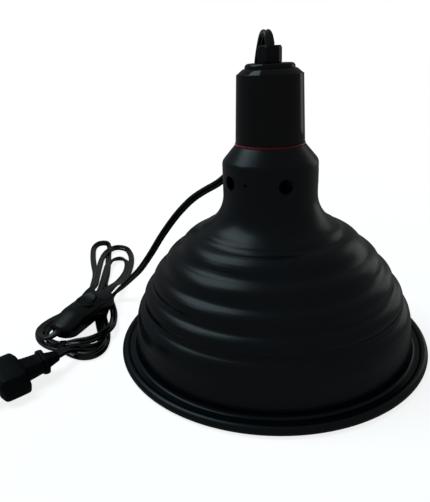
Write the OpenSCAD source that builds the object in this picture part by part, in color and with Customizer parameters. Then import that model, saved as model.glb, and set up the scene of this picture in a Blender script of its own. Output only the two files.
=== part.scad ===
// Dome heat lamp: ribbed shade, porcelain screw lampholder in a case, cord with rocker switch and plug.
// The lamp stands on its rim. Origin: centre of the rim, on the table. +Z: lamp axis, up. Front: -Y.

/* [Shade] */
// Diameter over the rolled rim
rim_d = 216; // [212:1:222]
// Radius of the dome
dome_r = 97.7; // [95:0.1:98]
// Sheet thickness
wall = 1; // [0.8:0.1:1.2]
// Diameter of the rolled rim's section
curl_d = 6; // [5:0.5:7]
// Height of the flat lip above the table
lip_z = 4.6; // [4.2:0.1:5]
// Diameter of the neck
neck_d = 62.2; // [60:0.2:64]
// Fillet between dome and neck
neck_fillet = 24; // [20:0.5:26]
// Height of the neck's upper corner
neck_top = 129; // [127:0.5:130]
// Slope of the neck's cone, from upright
cone_slope = 40; // [36:1:42]
// Height of the flat on top of the neck
shade_top = 140.9; // [140:0.1:141.5]
// Diameter of the hole for the lampholder
shade_hole_d = 34.8; // [34.6:0.1:35.4]

/* [Ledges] */
// Depth of the ledges
ledge_depth = 0.9; // [0.4:0.1:1.2]
// Angle over which a ledge rises
ledge_rise = 4.4; // [3.4:0.2:4.8]

/* [Vents] */
// Diameter of a vent hole
vent_d = 9; // [6:0.5:10]
// Number of vent holes
vent_count = 5; // [3:1:6]
// Height of the vent holes
vent_z = 120; // [117:0.5:122]
// Place of the first vent, from the front
vent_start = 18; // [0:1:60]
// Diameter of the small pilot hole
pilot_d = 2.2; // [1.5:0.1:3]

/* [Socket case] */
// Diameter of the case at its foot
case_d = 44.2; // [43.6:0.2:45]
// Diameter of the case at its top
case_top_d = 41.4; // [41:0.2:42]
// Height of the case
case_h = 41.3; // [40:0.1:44]
// Wall of the case
case_wall = 2; // [1.8:0.1:2.2]
// Thickness of the red seal
seal_t = 1.4; // [1:0.1:1.8]

/* [Cord grip] */
// Width across the flats of the hexagon
hex_af = 13.4; // [13:0.1:14.4]
// Height of the hexagon
hex_h = 9.9; // [9.5:0.1:11]
// Turn of the hexagon
hex_turn = 15; // [0:1:59]

/* [Lampholder] */
// Bore of the brass screw shell
shell_bore_d = 26.6; // [26.5:0.05:26.65]
// Length of the screw shell
shell_l = 25.5; // [24:0.5:26]
// Outside diameter of the porcelain skirt
skirt_d = 33.6; // [33:0.1:34]

/* [Cord] */
// Width of the twin cord
cord_w = 5.8; // [5.4:0.1:6]
// Thickness of the twin cord
cord_t = 2.9; // [2.7:0.1:3]

/* [Switch] */
// Length of the switch
switch_l = 66; // [62:1:68]
// Width of the switch
switch_w = 21.5; // [21:0.5:23]
// Height of the switch body
switch_h = 14; // [13.8:0.1:14.6]
// Whole throw of the rocker
rocker_throw = 24; // [20:1:24]

/* [Plug] */
// Width of the plug body
plug_w = 32; // [30:1:34]
// Thickness of the plug body
plug_h = 16; // [15:0.5:17]
// Distance between the blades
blade_pitch = 12.7; // [12.5:0.1:13]

/* [Hidden] */
$fn = 96;
gap = 0.05;   // play between pieces that fit together
cut = 1;      // how far a cutting tool runs past the face it opens

// Shade
neck_r = neck_d / 2;
lip_fillet = 2;
dome_z = lip_z - 5.1;
shoulder = 1.3;   // how far the dome swells under the neck fillet
rim_flat = 0.15;
bead_z = curl_d / 2 - rim_flat;
bead_at = rim_d / 2 - curl_d / 2;
neck_corner = 5;
fillet_at = neck_r + neck_fillet;
fillet_z = dome_z + sqrt(pow(dome_r + shoulder + neck_fillet, 2) - pow(fillet_at, 2));
dome_top_angle = acos(fillet_at / (dome_r + shoulder + neck_fillet));
dome_low_angle = asin((lip_z + lip_fillet - dome_z) / dome_r);
// Each ledge: its elevation angle on the dome, its share of the full depth, and the swell of the dome there
ledges = [[58.3, 0.6, 0.9], [47.5, 0.75, 0.2], [38, 1, -0.1], [29.4, 1.3, -0.1], [21.4, 1.4, 0.1]];
foot_angle = 10;
dome_steps = 64;
pilot_angle = -29;

// Socket case and cap
seal_z = shade_top;
case_z = seal_z + seal_t;
case_top = case_z + case_h;
case_floor = 2.5;
holder_seat = case_z + case_floor;
cap_step_r = 15.8;
cap_step_z = case_top + 3.2;
cap_disc_r = 14.4;
cap_top = case_top + 6;
cap_wall = 2.2;
cap_spigot_h = 4;
cap_roof = cap_top - cap_wall;

// Cord grip
hex_top = cap_top + hex_h;
hex_r = hex_af / 2 / cos(30);
hex_roof = 1;
stem_r = 5;
stem_bore_r = 3.6;
stem_top = hex_top - 3.5;
stem_bottom = cap_roof - 6;
lock_nut_af = 14;
lock_nut_h = 3;
grip_mouth_r = 3.4;
inlet_bottom = stem_bottom - 3;
arch_turn = 19;    // turn of the cord's wide side, so that it bends over to the back left

// Lampholder
holder_top = holder_seat + 21;
holder_block_r = 18.4;
skirt_bottom = 112;
shell_mouth = skirt_bottom + 1.5;
shell_r = shell_bore_d / 2;
shell_t = 0.5;
shell_top = shell_mouth + shell_l;
socket_floor = shell_top + 0.5;
contact_floor = socket_floor + 4.2;   // floor of the recess over the shell's collar, for the tongue
contact_recess_r = 8.6;
pocket_z = holder_top - 8;
block_z = [pocket_z, pocket_z + 6];
live_x = [-10, 1.8];
neutral_x = [5, 14.5];
live_screw_x = -6;
neutral_screw_x = 8;
neutral_rivet_x = 11.2;
rivet_r = 1.2;
wire_z = pocket_z + 3;
core_r = 1.1;

// Cord
cord_sides = 10;
// Route of the lead from the grip over the back of the case, round the neck and down to the hank
lead_route = [
    [0, 0, hex_top + 0.4], [0, 0, 202], [-1, 2.2, 206], [-2.5, 7, 208], [-4, 12, 206], [-5.2, 15.5, 201],
    [-7, 21, 192], [-8, 23.5, 180], [-9.5, 24.5, 160], [-12, 25.5, 145], [-17, 27, 134], [-23, 25.5, 125],
    [-29, 22.5, 117], [-36, 21, 111], [-46, 24, 105], [-56, 28, 98], [-67, 34, 87], [-76, 40, 76],
    [-87, 46, 61], [-97.5, 51, 45], [-110, 56, 28], [-119, 58, 19], [-128, 57, 10], [-135, 56.5, 5.2], [-144, 56, 3.4]
];
// Hank: fans of loops at both ends of a bundle, each fan with its place and radius
hank_h = 6;
far_fan = [-160, 150];
far_fan_r = 22;
back_fan = [-180, 172];
back_fan_r = 17;
near_fan = [-148, -9];
near_fan_r = 31;
bundle_w = 24;
tie_at = [-150.5, -28];
tie_turn = 10;
tie_w = 4;
tie_span = 14;
tie_t = 1;
bundle_turn = atan2(far_fan[1] - near_fan[1], far_fan[0] - near_fan[0]);

// Switch, lying on the hank and tipped to the front
switch_at = [-147, 15, 5];
switch_turn = 74;
switch_roll = 10;
switch_wall = 2;
floor_t = 1.8;
split_z = 6;
crown_across = 22;
crown_along = 90;
rocker_x = 4;
rocker_z = 9.6;
barrel_r = 6;
barrel_off = 3.4;
barrel_gap = 0.35;
rocker_low = -0.8;
rocker_dish_z = 6;
rocker_dish_r = 30;
trunnion_r = 1.5;
trunnion_l = 16;
boss_r = 2.4;
boss_low = -3.4;
plunger_bore_r = 1.7;
plunger_r = 1.65;
plunger_tip = -5.2;
plunger_top = -0.4;
spring_top = 2;
spring_turns = 4;
spring_wire_r = 0.22;
lever_z = 3.2;
lever_rise = 0.2;
lever_t = 0.7;
lever_arm = 6.5;
lever_w = 4.6;
lever_vee = 12;
lever_rod_r = 0.7;
lever_throw = rocker_throw * 2 / 3;
contact_x = 5.6;
plate_t = 0.6;
clamp_l = 6;
clamp_x = 17;
clamp_h = 5.4;
clamp_wire_z = 4.7;
screw_x = 25;
screw_y = -5.6;
// The uncut core, passing the mechanism along one side of the housing
through_core = [[30.4, 1.45, 6], [27, 3.6, 5], [21, 6, 4], [4, 6.2, 3.6], [-21, 6, 4], [-27, 3.6, 5], [-30.4, 1.45, 6]];

// Plug, lying on the table in front of the hank
plug_at = [-171, -80, 10.5];
plug_turn = 229;
plug_roll = -20;
relief_l = 42;
blade_l = 16.5;
blade_t = 1.5;
blade_depth = 9;
// Cuts through the plug from its face to the cord: place, share of full width, share of full thickness
plug_cuts = [
    [0, 0.92, 0.9], [-1.5, 0.98, 0.98], [-16.5, 1, 1], [-18.5, 0.52, 0.78], [-29.5, 0.46, 0.7],
    [-30, 0.56, 0.88], [-33, 0.56, 0.88], [-33.5, 0.36, 0.54], [-relief_l, 0.24, 0.34]
];

// Colours, as the photo shows them
paint_black = [0.06, 0.07, 0.07];
gloss_black = [0.05, 0.05, 0.06];
cord_black = [0.08, 0.08, 0.09];
silicone_red = [0.55, 0.1, 0.12];
porcelain_dark = [0.16, 0.15, 0.14];
brass_yellow = [0.78, 0.63, 0.3];
steel_grey = [0.7, 0.71, 0.73];
nickel_white = [0.82, 0.82, 0.8];
core_brown = [0.35, 0.2, 0.12];

function cosine_mix(a, b, t) = a + (b - a) * (1 - cos(180 * t)) / 2;
function arc_points(centre, r, from, to, steps) =
    [for (i = [0:steps]) let (a = from + (to - from) * i / steps) centre + r * [cos(a), sin(a)]];
function reverse(list) = [for (i = [len(list) - 1:-1:0]) list[i]];
function unit(v) = v / norm(v);

// Turning points of the ledges: each ledge runs from a hollow, above, to a crest, below
ledge_knots = concat(
    [[dome_top_angle + 0.01, shoulder]],
    [for (l = ledges) each [
        [l[0] + ledge_rise / 2, l[2] - l[1] * ledge_depth],
        [l[0] - ledge_rise / 2, l[2] + l[1] * ledge_depth]]],
    [[foot_angle, 0.2], [0, 0]]);
function ledge_span(a) = [for (k = [0:len(ledge_knots) - 2])
    if (a <= ledge_knots[k][0] && a > ledge_knots[k + 1][0]) k];
function ledge_offset(a) = let (span = ledge_span(a)) len(span) == 0 ? 0 :
    let (from = ledge_knots[span[0]], to = ledge_knots[span[0] + 1])
    cosine_mix(from[1], to[1], (from[0] - a) / (from[0] - to[0]));
function dome_point(a, depth) = [0, dome_z] + (dome_r + ledge_offset(a) - depth) * [cos(a), sin(a)];

// Outline of the shade's sheet from the lip up to the lampholder hole, at a depth under its outer face
function shade_line(depth) = let (
    corner = [neck_r - neck_corner, neck_top],
    cone = corner + (neck_corner - depth) * [cos(cone_slope), sin(cone_slope)],
    top = shade_top - depth) concat(
    [[bead_at, lip_z - depth]],
    arc_points([dome_r + lip_fillet, lip_z + lip_fillet], lip_fillet + depth, 270, 180, 6),
    [for (i = [1:dome_steps]) dome_point(dome_low_angle + (dome_top_angle - dome_low_angle) * i / dome_steps, depth)],
    reverse(arc_points([fillet_at, fillet_z], neck_fillet + depth, 180, 180 + dome_top_angle, 9)),
    arc_points(corner, neck_corner - depth, 0, cone_slope, 6),
    [[cone[0] - (top - cone[1]) * tan(cone_slope), top], [shade_hole_d / 2, top]]);

// A smooth curve through hand-set points, and a tube of oval section along it
function curve_point(p, i, t) = let (
    a = p[max(i - 1, 0)], b = p[i], c = p[i + 1], d = p[min(i + 2, len(p) - 1)])
    0.5 * (2 * b + (c - a) * t + (2 * a - 5 * b + 4 * c - d) * t * t + (3 * b - a - 3 * c + d) * t * t * t);
function curve(p, n) = concat([for (i = [0:len(p) - 2], k = [0:n - 1]) curve_point(p, i, k / n)], [p[len(p) - 1]]);
function tangents(p) = [for (i = [0:len(p) - 1]) unit(p[min(i + 1, len(p) - 1)] - p[max(i - 1, 0)])];
function square_to(v, t) = unit(v - (v * t) * t);
function carried(v, ts) = [for (i = 0, w = square_to(v, ts[0]); i < len(ts); i = i + 1,
    w = i < len(ts) ? square_to(w, ts[i]) : w) w];
module tube(p, wide, w, t, sides) {
    ts = tangents(p);
    ws = carried(wide, ts);
    rings = [for (i = [0:len(p) - 1], k = [0:sides - 1]) let (a = 360 * (k + 0.5) / sides)
        p[i] + ws[i] * cos(a) * w / 2 + cross(ts[i], ws[i]) * sin(a) * t / 2];
    n = len(p);
    walls = [for (i = [0:n - 2], k = [0:sides - 1]) let (j = (k + 1) % sides)
        [i * sides + k, (i + 1) * sides + k, (i + 1) * sides + j, i * sides + j]];
    polyhedron(rings, concat([[for (k = [0:sides - 1]) k]],
        [[for (k = [sides - 1:-1:0]) (n - 1) * sides + k]], walls), convexity = 10);
}

// A slot with round ends
module slot(l, w) {
    square([l - w, w], center = true);
    for (s = [-1, 1]) translate([s * (l - w) / 2, 0]) circle(d = w);
}
module hexagon(af) circle(r = af / 2 / cos(30), $fn = 6);
module tube_round(r_out, r_in, h) difference() {
    cylinder(r = r_out, h = h);
    translate([0, 0, -cut]) cylinder(r = r_in, h = h + 2 * cut);
}

// Shade: sheet with ledges, neck, lip and rolled rim, then the vents
module dome_shade() color(paint_black) difference() {
    rotate_extrude($fn = 180) {
        polygon(concat(shade_line(0), reverse(shade_line(wall))));
        difference() {
            translate([bead_at, bead_z]) circle(d = curl_d);
            translate([bead_at - curl_d, -curl_d]) square([2 * curl_d, curl_d]);
        }
    }
    for (i = [0:vent_count - 1]) vent_cut(vent_start + i * 360 / vent_count, vent_z, vent_d);
    vent_cut(pilot_angle, vent_z + 0.5, pilot_d);
}
module vent_cut(angle, z, d) rotate([0, 0, angle]) translate([0, -neck_r + 4 * wall, z])
    rotate([90, 0, 0]) cylinder(d = d, h = 8 * wall);

module seal_ring() color(silicone_red) translate([0, 0, seal_z])
    tube_round(case_d / 2 + 0.4, shade_hole_d / 2, seal_t);

// Case: tapered tube with a floor that the lampholder's shoulder pulls down
module socket_case() color(gloss_black) rotate_extrude() polygon([
    [shade_hole_d / 2, case_z], [case_d / 2 - 0.4, case_z], [case_d / 2, case_z + 0.4], [case_top_d / 2, case_top],
    [case_top_d / 2 - case_wall, case_top], [case_d / 2 - case_wall, case_z + case_floor],
    [shade_hole_d / 2, case_z + case_floor]]);

// Cap: rounded shoulder, a step, a raised disc and a spigot inside the case
module case_cap() color(gloss_black) rotate_extrude() difference() {
    union() {
        intersection() {
            translate([cap_step_r - 0.2, case_top - 1.6]) circle(r = 5.1);
            translate([stem_r + gap, case_top]) square([case_top_d / 2 - stem_r - gap, cap_step_z - case_top]);
        }
        translate([stem_r + gap, case_top]) square([cap_step_r - stem_r - gap, cap_step_z - case_top]);
        intersection() {
            translate([cap_disc_r - 2.4, cap_top - 2.4]) circle(r = 2.4);
            translate([cap_disc_r - 2.4, cap_step_z - cut]) square([3, cap_top - cap_step_z + cut]);
        }
        translate([stem_r + gap, cap_step_z - cut])
            square([cap_disc_r - 2.4 - stem_r - gap, cap_top - cap_step_z + cut]);
        translate([case_top_d / 2 - case_wall - 2 - gap, case_top - cap_spigot_h])
            square([2 - gap, cap_spigot_h + cut]);
    }
    translate([0, case_top - cap_spigot_h - cut]) square([cap_disc_r - 2.4, cap_roof - case_top + cap_spigot_h + cut]);
    translate([0, case_top - cap_spigot_h - cut])
        square([case_top_d / 2 - case_wall - 2, cap_spigot_h + cut]);
    translate([0, cap_roof - cut]) square([stem_r + gap, cap_wall + 2 * cut]);
}

// Cord grip: chamfered hexagon over a soft sleeve, on a threaded stem that a nut holds under the cap
module gland_nut() color(gloss_black) difference() {
    intersection() {
        translate([0, 0, cap_top]) rotate([0, 0, hex_turn]) linear_extrude(hex_h) hexagon(hex_af);
        rotate_extrude() polygon([[0, cap_top], [hex_r - 0.5, cap_top], [hex_r + 0.7, cap_top + 1.2],
            [hex_r + 0.7, hex_top - 5], [hex_af / 2 - 0.9, hex_top], [0, hex_top]]);
    }
    translate([0, 0, cap_top - cut]) cylinder(r = stem_r + gap, h = hex_h - hex_roof + cut);
    cylinder(r = grip_mouth_r, h = hex_top + cut);
}
module gland_collet() color(cord_black) translate([0, 0, stem_top]) difference() {
    cylinder(r = stem_r, h = hex_top - hex_roof - stem_top);
    translate([0, 0, -cut]) rotate([0, 0, arch_turn])
        linear_extrude(hex_h) slot(cord_w + 2 * gap, cord_t + 2 * gap);
}
module gland_stem() color(steel_grey) translate([0, 0, stem_bottom])
    tube_round(stem_r, stem_bore_r, stem_top - stem_bottom);
module lock_nut() color(steel_grey) translate([0, 0, cap_roof - lock_nut_h]) difference() {
    linear_extrude(lock_nut_h) hexagon(lock_nut_af);
    translate([0, 0, -cut]) cylinder(r = stem_r + gap, h = lock_nut_h + 2 * cut);
}

// Porcelain: a block with wire pockets on a skirt that holds the screw shell
module lampholder_body() color(porcelain_dark) difference() {
    union() {
        translate([0, 0, skirt_bottom]) cylinder(d = skirt_d, h = holder_seat - skirt_bottom + cut);
        translate([0, 0, holder_seat]) cylinder(r = holder_block_r, h = holder_top - holder_seat);
    }
    translate([0, 0, skirt_bottom - cut]) cylinder(r = shell_r + shell_t + gap, h = socket_floor - skirt_bottom + cut);
    translate([0, 0, socket_floor - cut]) cylinder(r = contact_recess_r, h = contact_floor - socket_floor + cut);
    for (x = [live_x, neutral_x]) translate([x[0] - 0.4, -4, pocket_z])
        cube([x[1] - x[0] + 0.8, 4 + holder_block_r + cut, holder_top - pocket_z + cut]);
    for (x = [0, neutral_rivet_x]) translate([x, 0, socket_floor - cut])
        cylinder(r = rivet_r + gap, h = holder_top - socket_floor);
}
// Screw shell with an inturned collar at its closed end
module screw_shell() color(brass_yellow) translate([0, 0, shell_mouth]) difference() {
    cylinder(r = shell_r + shell_t, h = shell_l);
    translate([0, 0, -cut]) cylinder(r = shell_r, h = shell_l - shell_t + cut);
    cylinder(r = 9, h = shell_l + cut);
    translate([neutral_rivet_x, 0, shell_l - cut]) cylinder(r = rivet_r + gap, h = 2 * cut);
}
// Tongue bent down from the rivet towards the mouth
module centre_contact() color(brass_yellow) translate([0, 3, 0]) rotate([90, 0, 0]) linear_extrude(6) difference() {
    polygon([[-7, contact_floor], [3, contact_floor], [3, contact_floor - 0.5], [-5.8, contact_floor - 0.5],
        [3.4, contact_floor - 3.6], [5, contact_floor - 3.2], [5, contact_floor - 3.7], [3.2, contact_floor - 4.2],
        [-7, contact_floor - 0.8]]);
}
module contact_rivets() color(brass_yellow) {
    translate([0, 0, contact_floor]) cylinder(r = rivet_r, h = wire_z - 2 - contact_floor);
    translate([neutral_rivet_x, 0, shell_top - shell_t]) cylinder(r = rivet_r, h = wire_z - 2 - shell_top + shell_t);
}
module terminal_blocks() color(brass_yellow) {
    terminal_block(live_x, live_screw_x, 0);
    terminal_block(neutral_x, neutral_screw_x, neutral_rivet_x);
}
module terminal_block(x, screw, rivet) difference() {
    translate([x[0], -3.5, block_z[0]]) cube([x[1] - x[0], 7, block_z[1] - block_z[0]]);
    translate([screw, 0, wire_z]) rotate([-90, 0, 0]) cylinder(r = core_r + gap, h = 7);
    translate([screw, 0, wire_z]) cylinder(r = 1.75 + gap, h = 7);
    translate([rivet, 0, block_z[0] - cut]) cylinder(r = rivet_r + gap, h = wire_z - 2 - block_z[0] + cut + gap);
}
module terminal_screws() color(steel_grey) for (x = [live_screw_x, neutral_screw_x])
    translate([x, 0, 0]) clamp_screw(wire_z + core_r + 0.1, block_z[1], 1.75, 2.9);
// Clamp screw from its tip to its slotted cheese head
module clamp_screw(tip, seat, r, head_r) difference() {
    union() {
        translate([0, 0, tip]) cylinder(r = r, h = seat - tip + cut / 2);
        translate([0, 0, seat]) cylinder(r = head_r, h = r);
    }
    translate([-head_r - cut, -0.4, seat + r / 2]) cube([2 * head_r + 2 * cut, 0.8, r]);
}
// Ring screwed up the skirt against the inside of the shade, with finger notches
module shade_ring() color(steel_grey) translate([0, 0, shade_top - wall]) mirror([0, 0, 1]) difference() {
    union() {
        cylinder(r = 21, h = 2);
        cylinder(r = 19.4, h = 6);
    }
    translate([0, 0, -cut]) cylinder(r = skirt_d / 2 + gap, h = 8);
    for (i = [0:7]) rotate([0, 0, i * 45]) translate([21.4, 0, -cut]) cylinder(r = 1.6, h = 4);
}
// The two cores, parted under the grip and led round to the sides of the terminals
module core_leads() color(core_brown) for (s = [-1, 1]) {
    x = s < 0 ? live_screw_x : neutral_screw_x;
    tube(curve([[s * 1.5, 0, inlet_bottom - 0.6], [s * 2, 1.5, inlet_bottom - 3], [x * 0.6, 7, holder_top + 3],
        [x, 11, wire_z + 4], [x, 10, wire_z + 0.5], [x, 7, wire_z], [x, 3.5, wire_z]], 2), [1, 0, 0],
        2 * core_r, 2 * core_r, 8);
}

// Cord
module cord_inlet() color(cord_black) translate([0, 0, inlet_bottom]) rotate([0, 0, arch_turn])
    linear_extrude(hex_top - inlet_bottom) slot(cord_w, cord_t);
module cord_lead() color(cord_black)
    tube(curve(lead_route, 2), [cos(arch_turn), sin(arch_turn), 0], cord_w, cord_t, cord_sides);
module cord_hank() color(cord_black) difference() {
    linear_extrude(hank_h) {
        translate(far_fan) circle(r = far_fan_r);
        translate(back_fan) circle(r = back_fan_r);
        translate(near_fan) circle(r = near_fan_r);
        translate(near_fan) rotate(bundle_turn) translate([0, -bundle_w / 2])
            square([norm(far_fan - near_fan), bundle_w]);
    }
    hank_tie_shape();
    on_switch() translate([0, 0, -0.2]) linear_extrude(switch_h) switch_outline(-1);
}
// Band round the crossing strands, flush in a groove of the hank
module hank_tie() color(cord_black) hank_tie_shape();
module hank_tie_shape() translate([tie_at[0], tie_at[1], 0]) rotate([0, 0, tie_turn]) difference() {
    translate([-tie_w / 2, -tie_span / 2, 0]) cube([tie_w, tie_span, hank_h]);
    translate([-tie_w, -tie_span / 2 + tie_t, tie_t]) cube([2 * tie_w, tie_span - 2 * tie_t, hank_h - 2 * tie_t]);
}
// A point of the switch's middle plane, and the direction across the switch
function switch_point(x, z) = switch_at + x * [cos(switch_turn), sin(switch_turn), 0]
    + z * [sin(switch_roll) * sin(switch_turn), -sin(switch_roll) * cos(switch_turn), cos(switch_roll)];
switch_across = [-cos(switch_roll) * sin(switch_turn), cos(switch_roll) * cos(switch_turn), sin(switch_roll)];
function plug_point(x) = plug_at + x * [cos(plug_turn), sin(plug_turn), 0];
module cord_switch_far() color(cord_black) tube(curve([switch_point(switch_l / 2 - switch_wall, split_z),
    switch_point(switch_l / 2 + 4, split_z), [-136, 62, 10.5], [-136.8, 76, 8.6], [-139.5, 88, 6.6], [-147, 98, 4.5]], 2),
    switch_across, cord_w, cord_t, cord_sides);
module cord_switch_near() color(cord_black) tube(curve([switch_point(-switch_l / 2 + switch_wall, split_z),
    switch_point(-switch_l / 2 - 3, split_z), [-158, -26, 9], [-158.5, -30, 6.5], [-157.5, -33.5, 4.2]], 2),
    switch_across, cord_w, cord_t, cord_sides);
module cord_tail() color(cord_black) tube(curve([plug_point(-relief_l - 0.5), plug_point(-relief_l - 3),
    [-141, -40, 7], [-141, -34, 4.5]], 2), [-sin(plug_turn), cos(plug_turn), 0], cord_w, cord_t, cord_sides);

// Switch
module on_switch() translate(switch_at) rotate([0, 0, switch_turn]) rotate([switch_roll, 0, 0]) children();
module switch_outline(inset) slot(switch_l - 2 * inset, switch_w - 2 * inset);
// Crowned block: the switch's outline under a top that falls to the sides and the ends
module crowned(inset, drop) intersection() {
    linear_extrude(switch_h - drop) switch_outline(inset);
    translate([-switch_l, 0, switch_h - crown_across]) rotate([0, 90, 0])
        cylinder(r = crown_across - drop, h = 2 * switch_l);
    translate([0, switch_w, switch_h - crown_along]) rotate([90, 0, 0])
        cylinder(r = crown_along - drop, h = 2 * switch_w, $fn = 200);
}
module cord_slots() for (s = [0, 180]) rotate([0, 0, s]) translate([switch_l / 2 - 2 * switch_wall, 0, split_z])
    rotate([90, 0, 90]) linear_extrude(4 * switch_wall) slot(cord_w + 0.3, cord_t + 0.3);
module at_screws() for (s = [-1, 1]) translate([s * screw_x, screw_y, 0]) children();
module switch_base() color(gloss_black) on_switch() difference() {
    union() {
        linear_extrude(1) switch_outline(0.8);
        translate([0, 0, 1]) linear_extrude(split_z - 1) switch_outline(0);
    }
    translate([0, 0, floor_t]) linear_extrude(split_z) switch_outline(switch_wall);
    cord_slots();
    at_screws() translate([0, 0, -cut]) {
        cylinder(r = 1.4, h = 4);
        cylinder(r = 2.5, h = 1 + cut);
    }
}
// The rocker's body: a barrel turned about its own pivot, so its gap stays even as it rocks
module barrel(grow) rotate([90, 0, 0]) rotate_extrude() intersection() {
    translate([barrel_off, 0]) circle(r = barrel_r + grow);
    translate([0, -2 * barrel_r]) square([4 * barrel_r, 4 * barrel_r]);
}
module switch_cover() color(gloss_black) on_switch() difference() {
    union() {
        difference() {
            union() {
                intersection() {
                    crowned(0, 0);
                    translate([-switch_l, -switch_w, split_z]) cube([2 * switch_l, 2 * switch_w, switch_h]);
                }
                translate([rocker_x, 0, split_z]) linear_extrude(switch_h + 0.9 - split_z) slot(21.6, 15);
            }
            intersection() {
                crowned(switch_wall, switch_wall);
                translate([-switch_l, -switch_w, 0]) cube([2 * switch_l, 2 * switch_w, switch_h]);
            }
        }
        intersection() {
            crowned(switch_wall / 2, switch_wall / 2);
            union() {
                for (s = [-1, 1]) translate([rocker_x - 3, s * 7.8 - 1.2, rocker_z - 2.2]) cube([6, 2.4, switch_h]);
                at_screws() translate([0, 0, floor_t + gap]) cylinder(r = 2.3, h = switch_h);
            }
        }
    }
    cord_slots();
    translate([rocker_x, 0, rocker_z]) {
        barrel(barrel_gap);
        rotate([90, 0, 0]) cylinder(r = trunnion_r + gap, h = trunnion_l + 1, center = true);
    }
    at_screws() cylinder(r = 1.2 + gap, h = split_z + 2);
}
module at_rocker() on_switch() translate([rocker_x, 0, rocker_z]) rotate([0, -rocker_throw / 2, 0]) children();
module switch_rocker() color(cord_black) at_rocker() difference() {
    union() {
        intersection() {
            barrel(0);
            translate([-2 * barrel_r, -2 * barrel_r, rocker_low]) cube(4 * barrel_r);
        }
        rotate([90, 0, 0]) cylinder(r = trunnion_r, h = trunnion_l, center = true);
        translate([0, 0, boss_low]) cylinder(r = boss_r, h = -boss_low);
    }
    translate([0, 0, rocker_dish_z + rocker_dish_r]) rotate([90, 0, 0])
        cylinder(r = rocker_dish_r, h = 4 * barrel_r, center = true, $fn = 200);
    translate([0, 0, boss_low - cut]) cylinder(r = plunger_bore_r, h = spring_top - boss_low + cut);
}
module rocker_plunger() color(steel_grey) at_rocker() {
    translate([0, 0, plunger_tip + plunger_r]) cylinder(r = plunger_r, h = plunger_top - plunger_tip - plunger_r);
    translate([0, 0, plunger_tip + plunger_r]) sphere(r = plunger_r);
}
module rocker_spring() color(steel_grey) at_rocker() {
    turn_steps = 10;
    coil_r = plunger_bore_r - spring_wire_r - 0.1;
    low = plunger_top + spring_wire_r;
    rise = spring_top - spring_wire_r - low;
    tube([for (i = [0:spring_turns * turn_steps]) let (a = 360 * i / turn_steps)
        [coil_r * cos(a), coil_r * sin(a), low + rise * i / (spring_turns * turn_steps)]],
        [1, 0, 0], 2 * spring_wire_r, 2 * spring_wire_r, 6);
}
// Seesaw contact: a shallow vee on a rod, with a contact button under one arm
module contact_lever() color(brass_yellow) on_switch() translate([rocker_x, 0, lever_z])
    rotate([0, lever_throw / 2, 0]) {
        for (s = [0, 180]) rotate([0, 0, s]) translate([0, 0, lever_rise]) rotate([0, -lever_vee, 0])
            translate([0, -lever_w / 2, 0]) cube([lever_arm, lever_w, lever_t]);
        rotate([90, 0, 0]) cylinder(r = lever_rod_r, h = 7, center = true);
        translate([0, 0, lever_rise]) rotate([0, lever_vee, 0]) translate([-contact_x, 0, -0.7]) cylinder(r = 1.2, h = 0.8);
    }
// Clamp block for a cut core, with its bore along the switch and its screw from above
module wire_clamp() difference() {
    translate([clamp_x, -3, floor_t]) cube([clamp_l, 6, clamp_h]);
    translate([clamp_x - cut, 0, clamp_wire_z]) rotate([0, 90, 0]) cylinder(r = core_r + gap, h = clamp_l + 2 * cut);
    translate([clamp_x + clamp_l / 2, 0, clamp_wire_z]) cylinder(r = 1.3 + gap, h = clamp_h);
}
module fulcrum_terminal() color(brass_yellow) on_switch() {
    translate([rocker_x - 2, -3, floor_t]) cube([clamp_x - rocker_x + 2, 6, plate_t]);
    wire_clamp();
    for (s = [-1, 1]) difference() {
        translate([rocker_x - 1.6, s * 2.75 - 0.25, floor_t]) cube([3.2, 0.5, lever_z - floor_t + 1.4]);
        translate([rocker_x, 0, lever_z]) rotate([90, 0, 0]) cylinder(r = lever_rod_r + gap, h = 8, center = true);
    }
}
module contact_terminal() color(brass_yellow) on_switch() {
    mirror([1, 0, 0]) wire_clamp();
    translate([-clamp_x, -3, floor_t]) cube([clamp_x + rocker_x - contact_x + 1.6, 6, plate_t]);
    translate([rocker_x - contact_x, 0, floor_t + plate_t / 2]) cylinder(r = 1.2, h = plate_t / 2 + 0.4);
}
module switch_terminal_screws() color(steel_grey) on_switch() for (s = [-1, 1])
    translate([s * (clamp_x + clamp_l / 2), 0, 0])
        clamp_screw(clamp_wire_z + core_r + 0.1, floor_t + clamp_h, 1.3, 2.1);
// The cut core's two ends in their clamps, and the other core passing through
module switch_cores() color(core_brown) on_switch() {
    for (s = [-1, 1]) tube(curve([[s * 30.4, -1.45, split_z], [s * 27.5, -0.9, 5.4],
        [s * 25, -0.1, clamp_wire_z], [s * (clamp_x + clamp_l), 0, clamp_wire_z]], 2), [0, 1, 0],
        2 * core_r, 2 * core_r, 8);
    tube(curve(through_core, 2), [0, 1, 0], 2 * core_r, 2 * core_r, 8);
}
module switch_screws() color(steel_grey) on_switch() at_screws() {
    difference() {
        cylinder(r = 2.4, h = 1);
        translate([-3, -0.4, -cut]) cube([6, 0.8, 1.4]);
    }
    cylinder(r = 1.2, h = split_z + 1.5);
}

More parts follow.
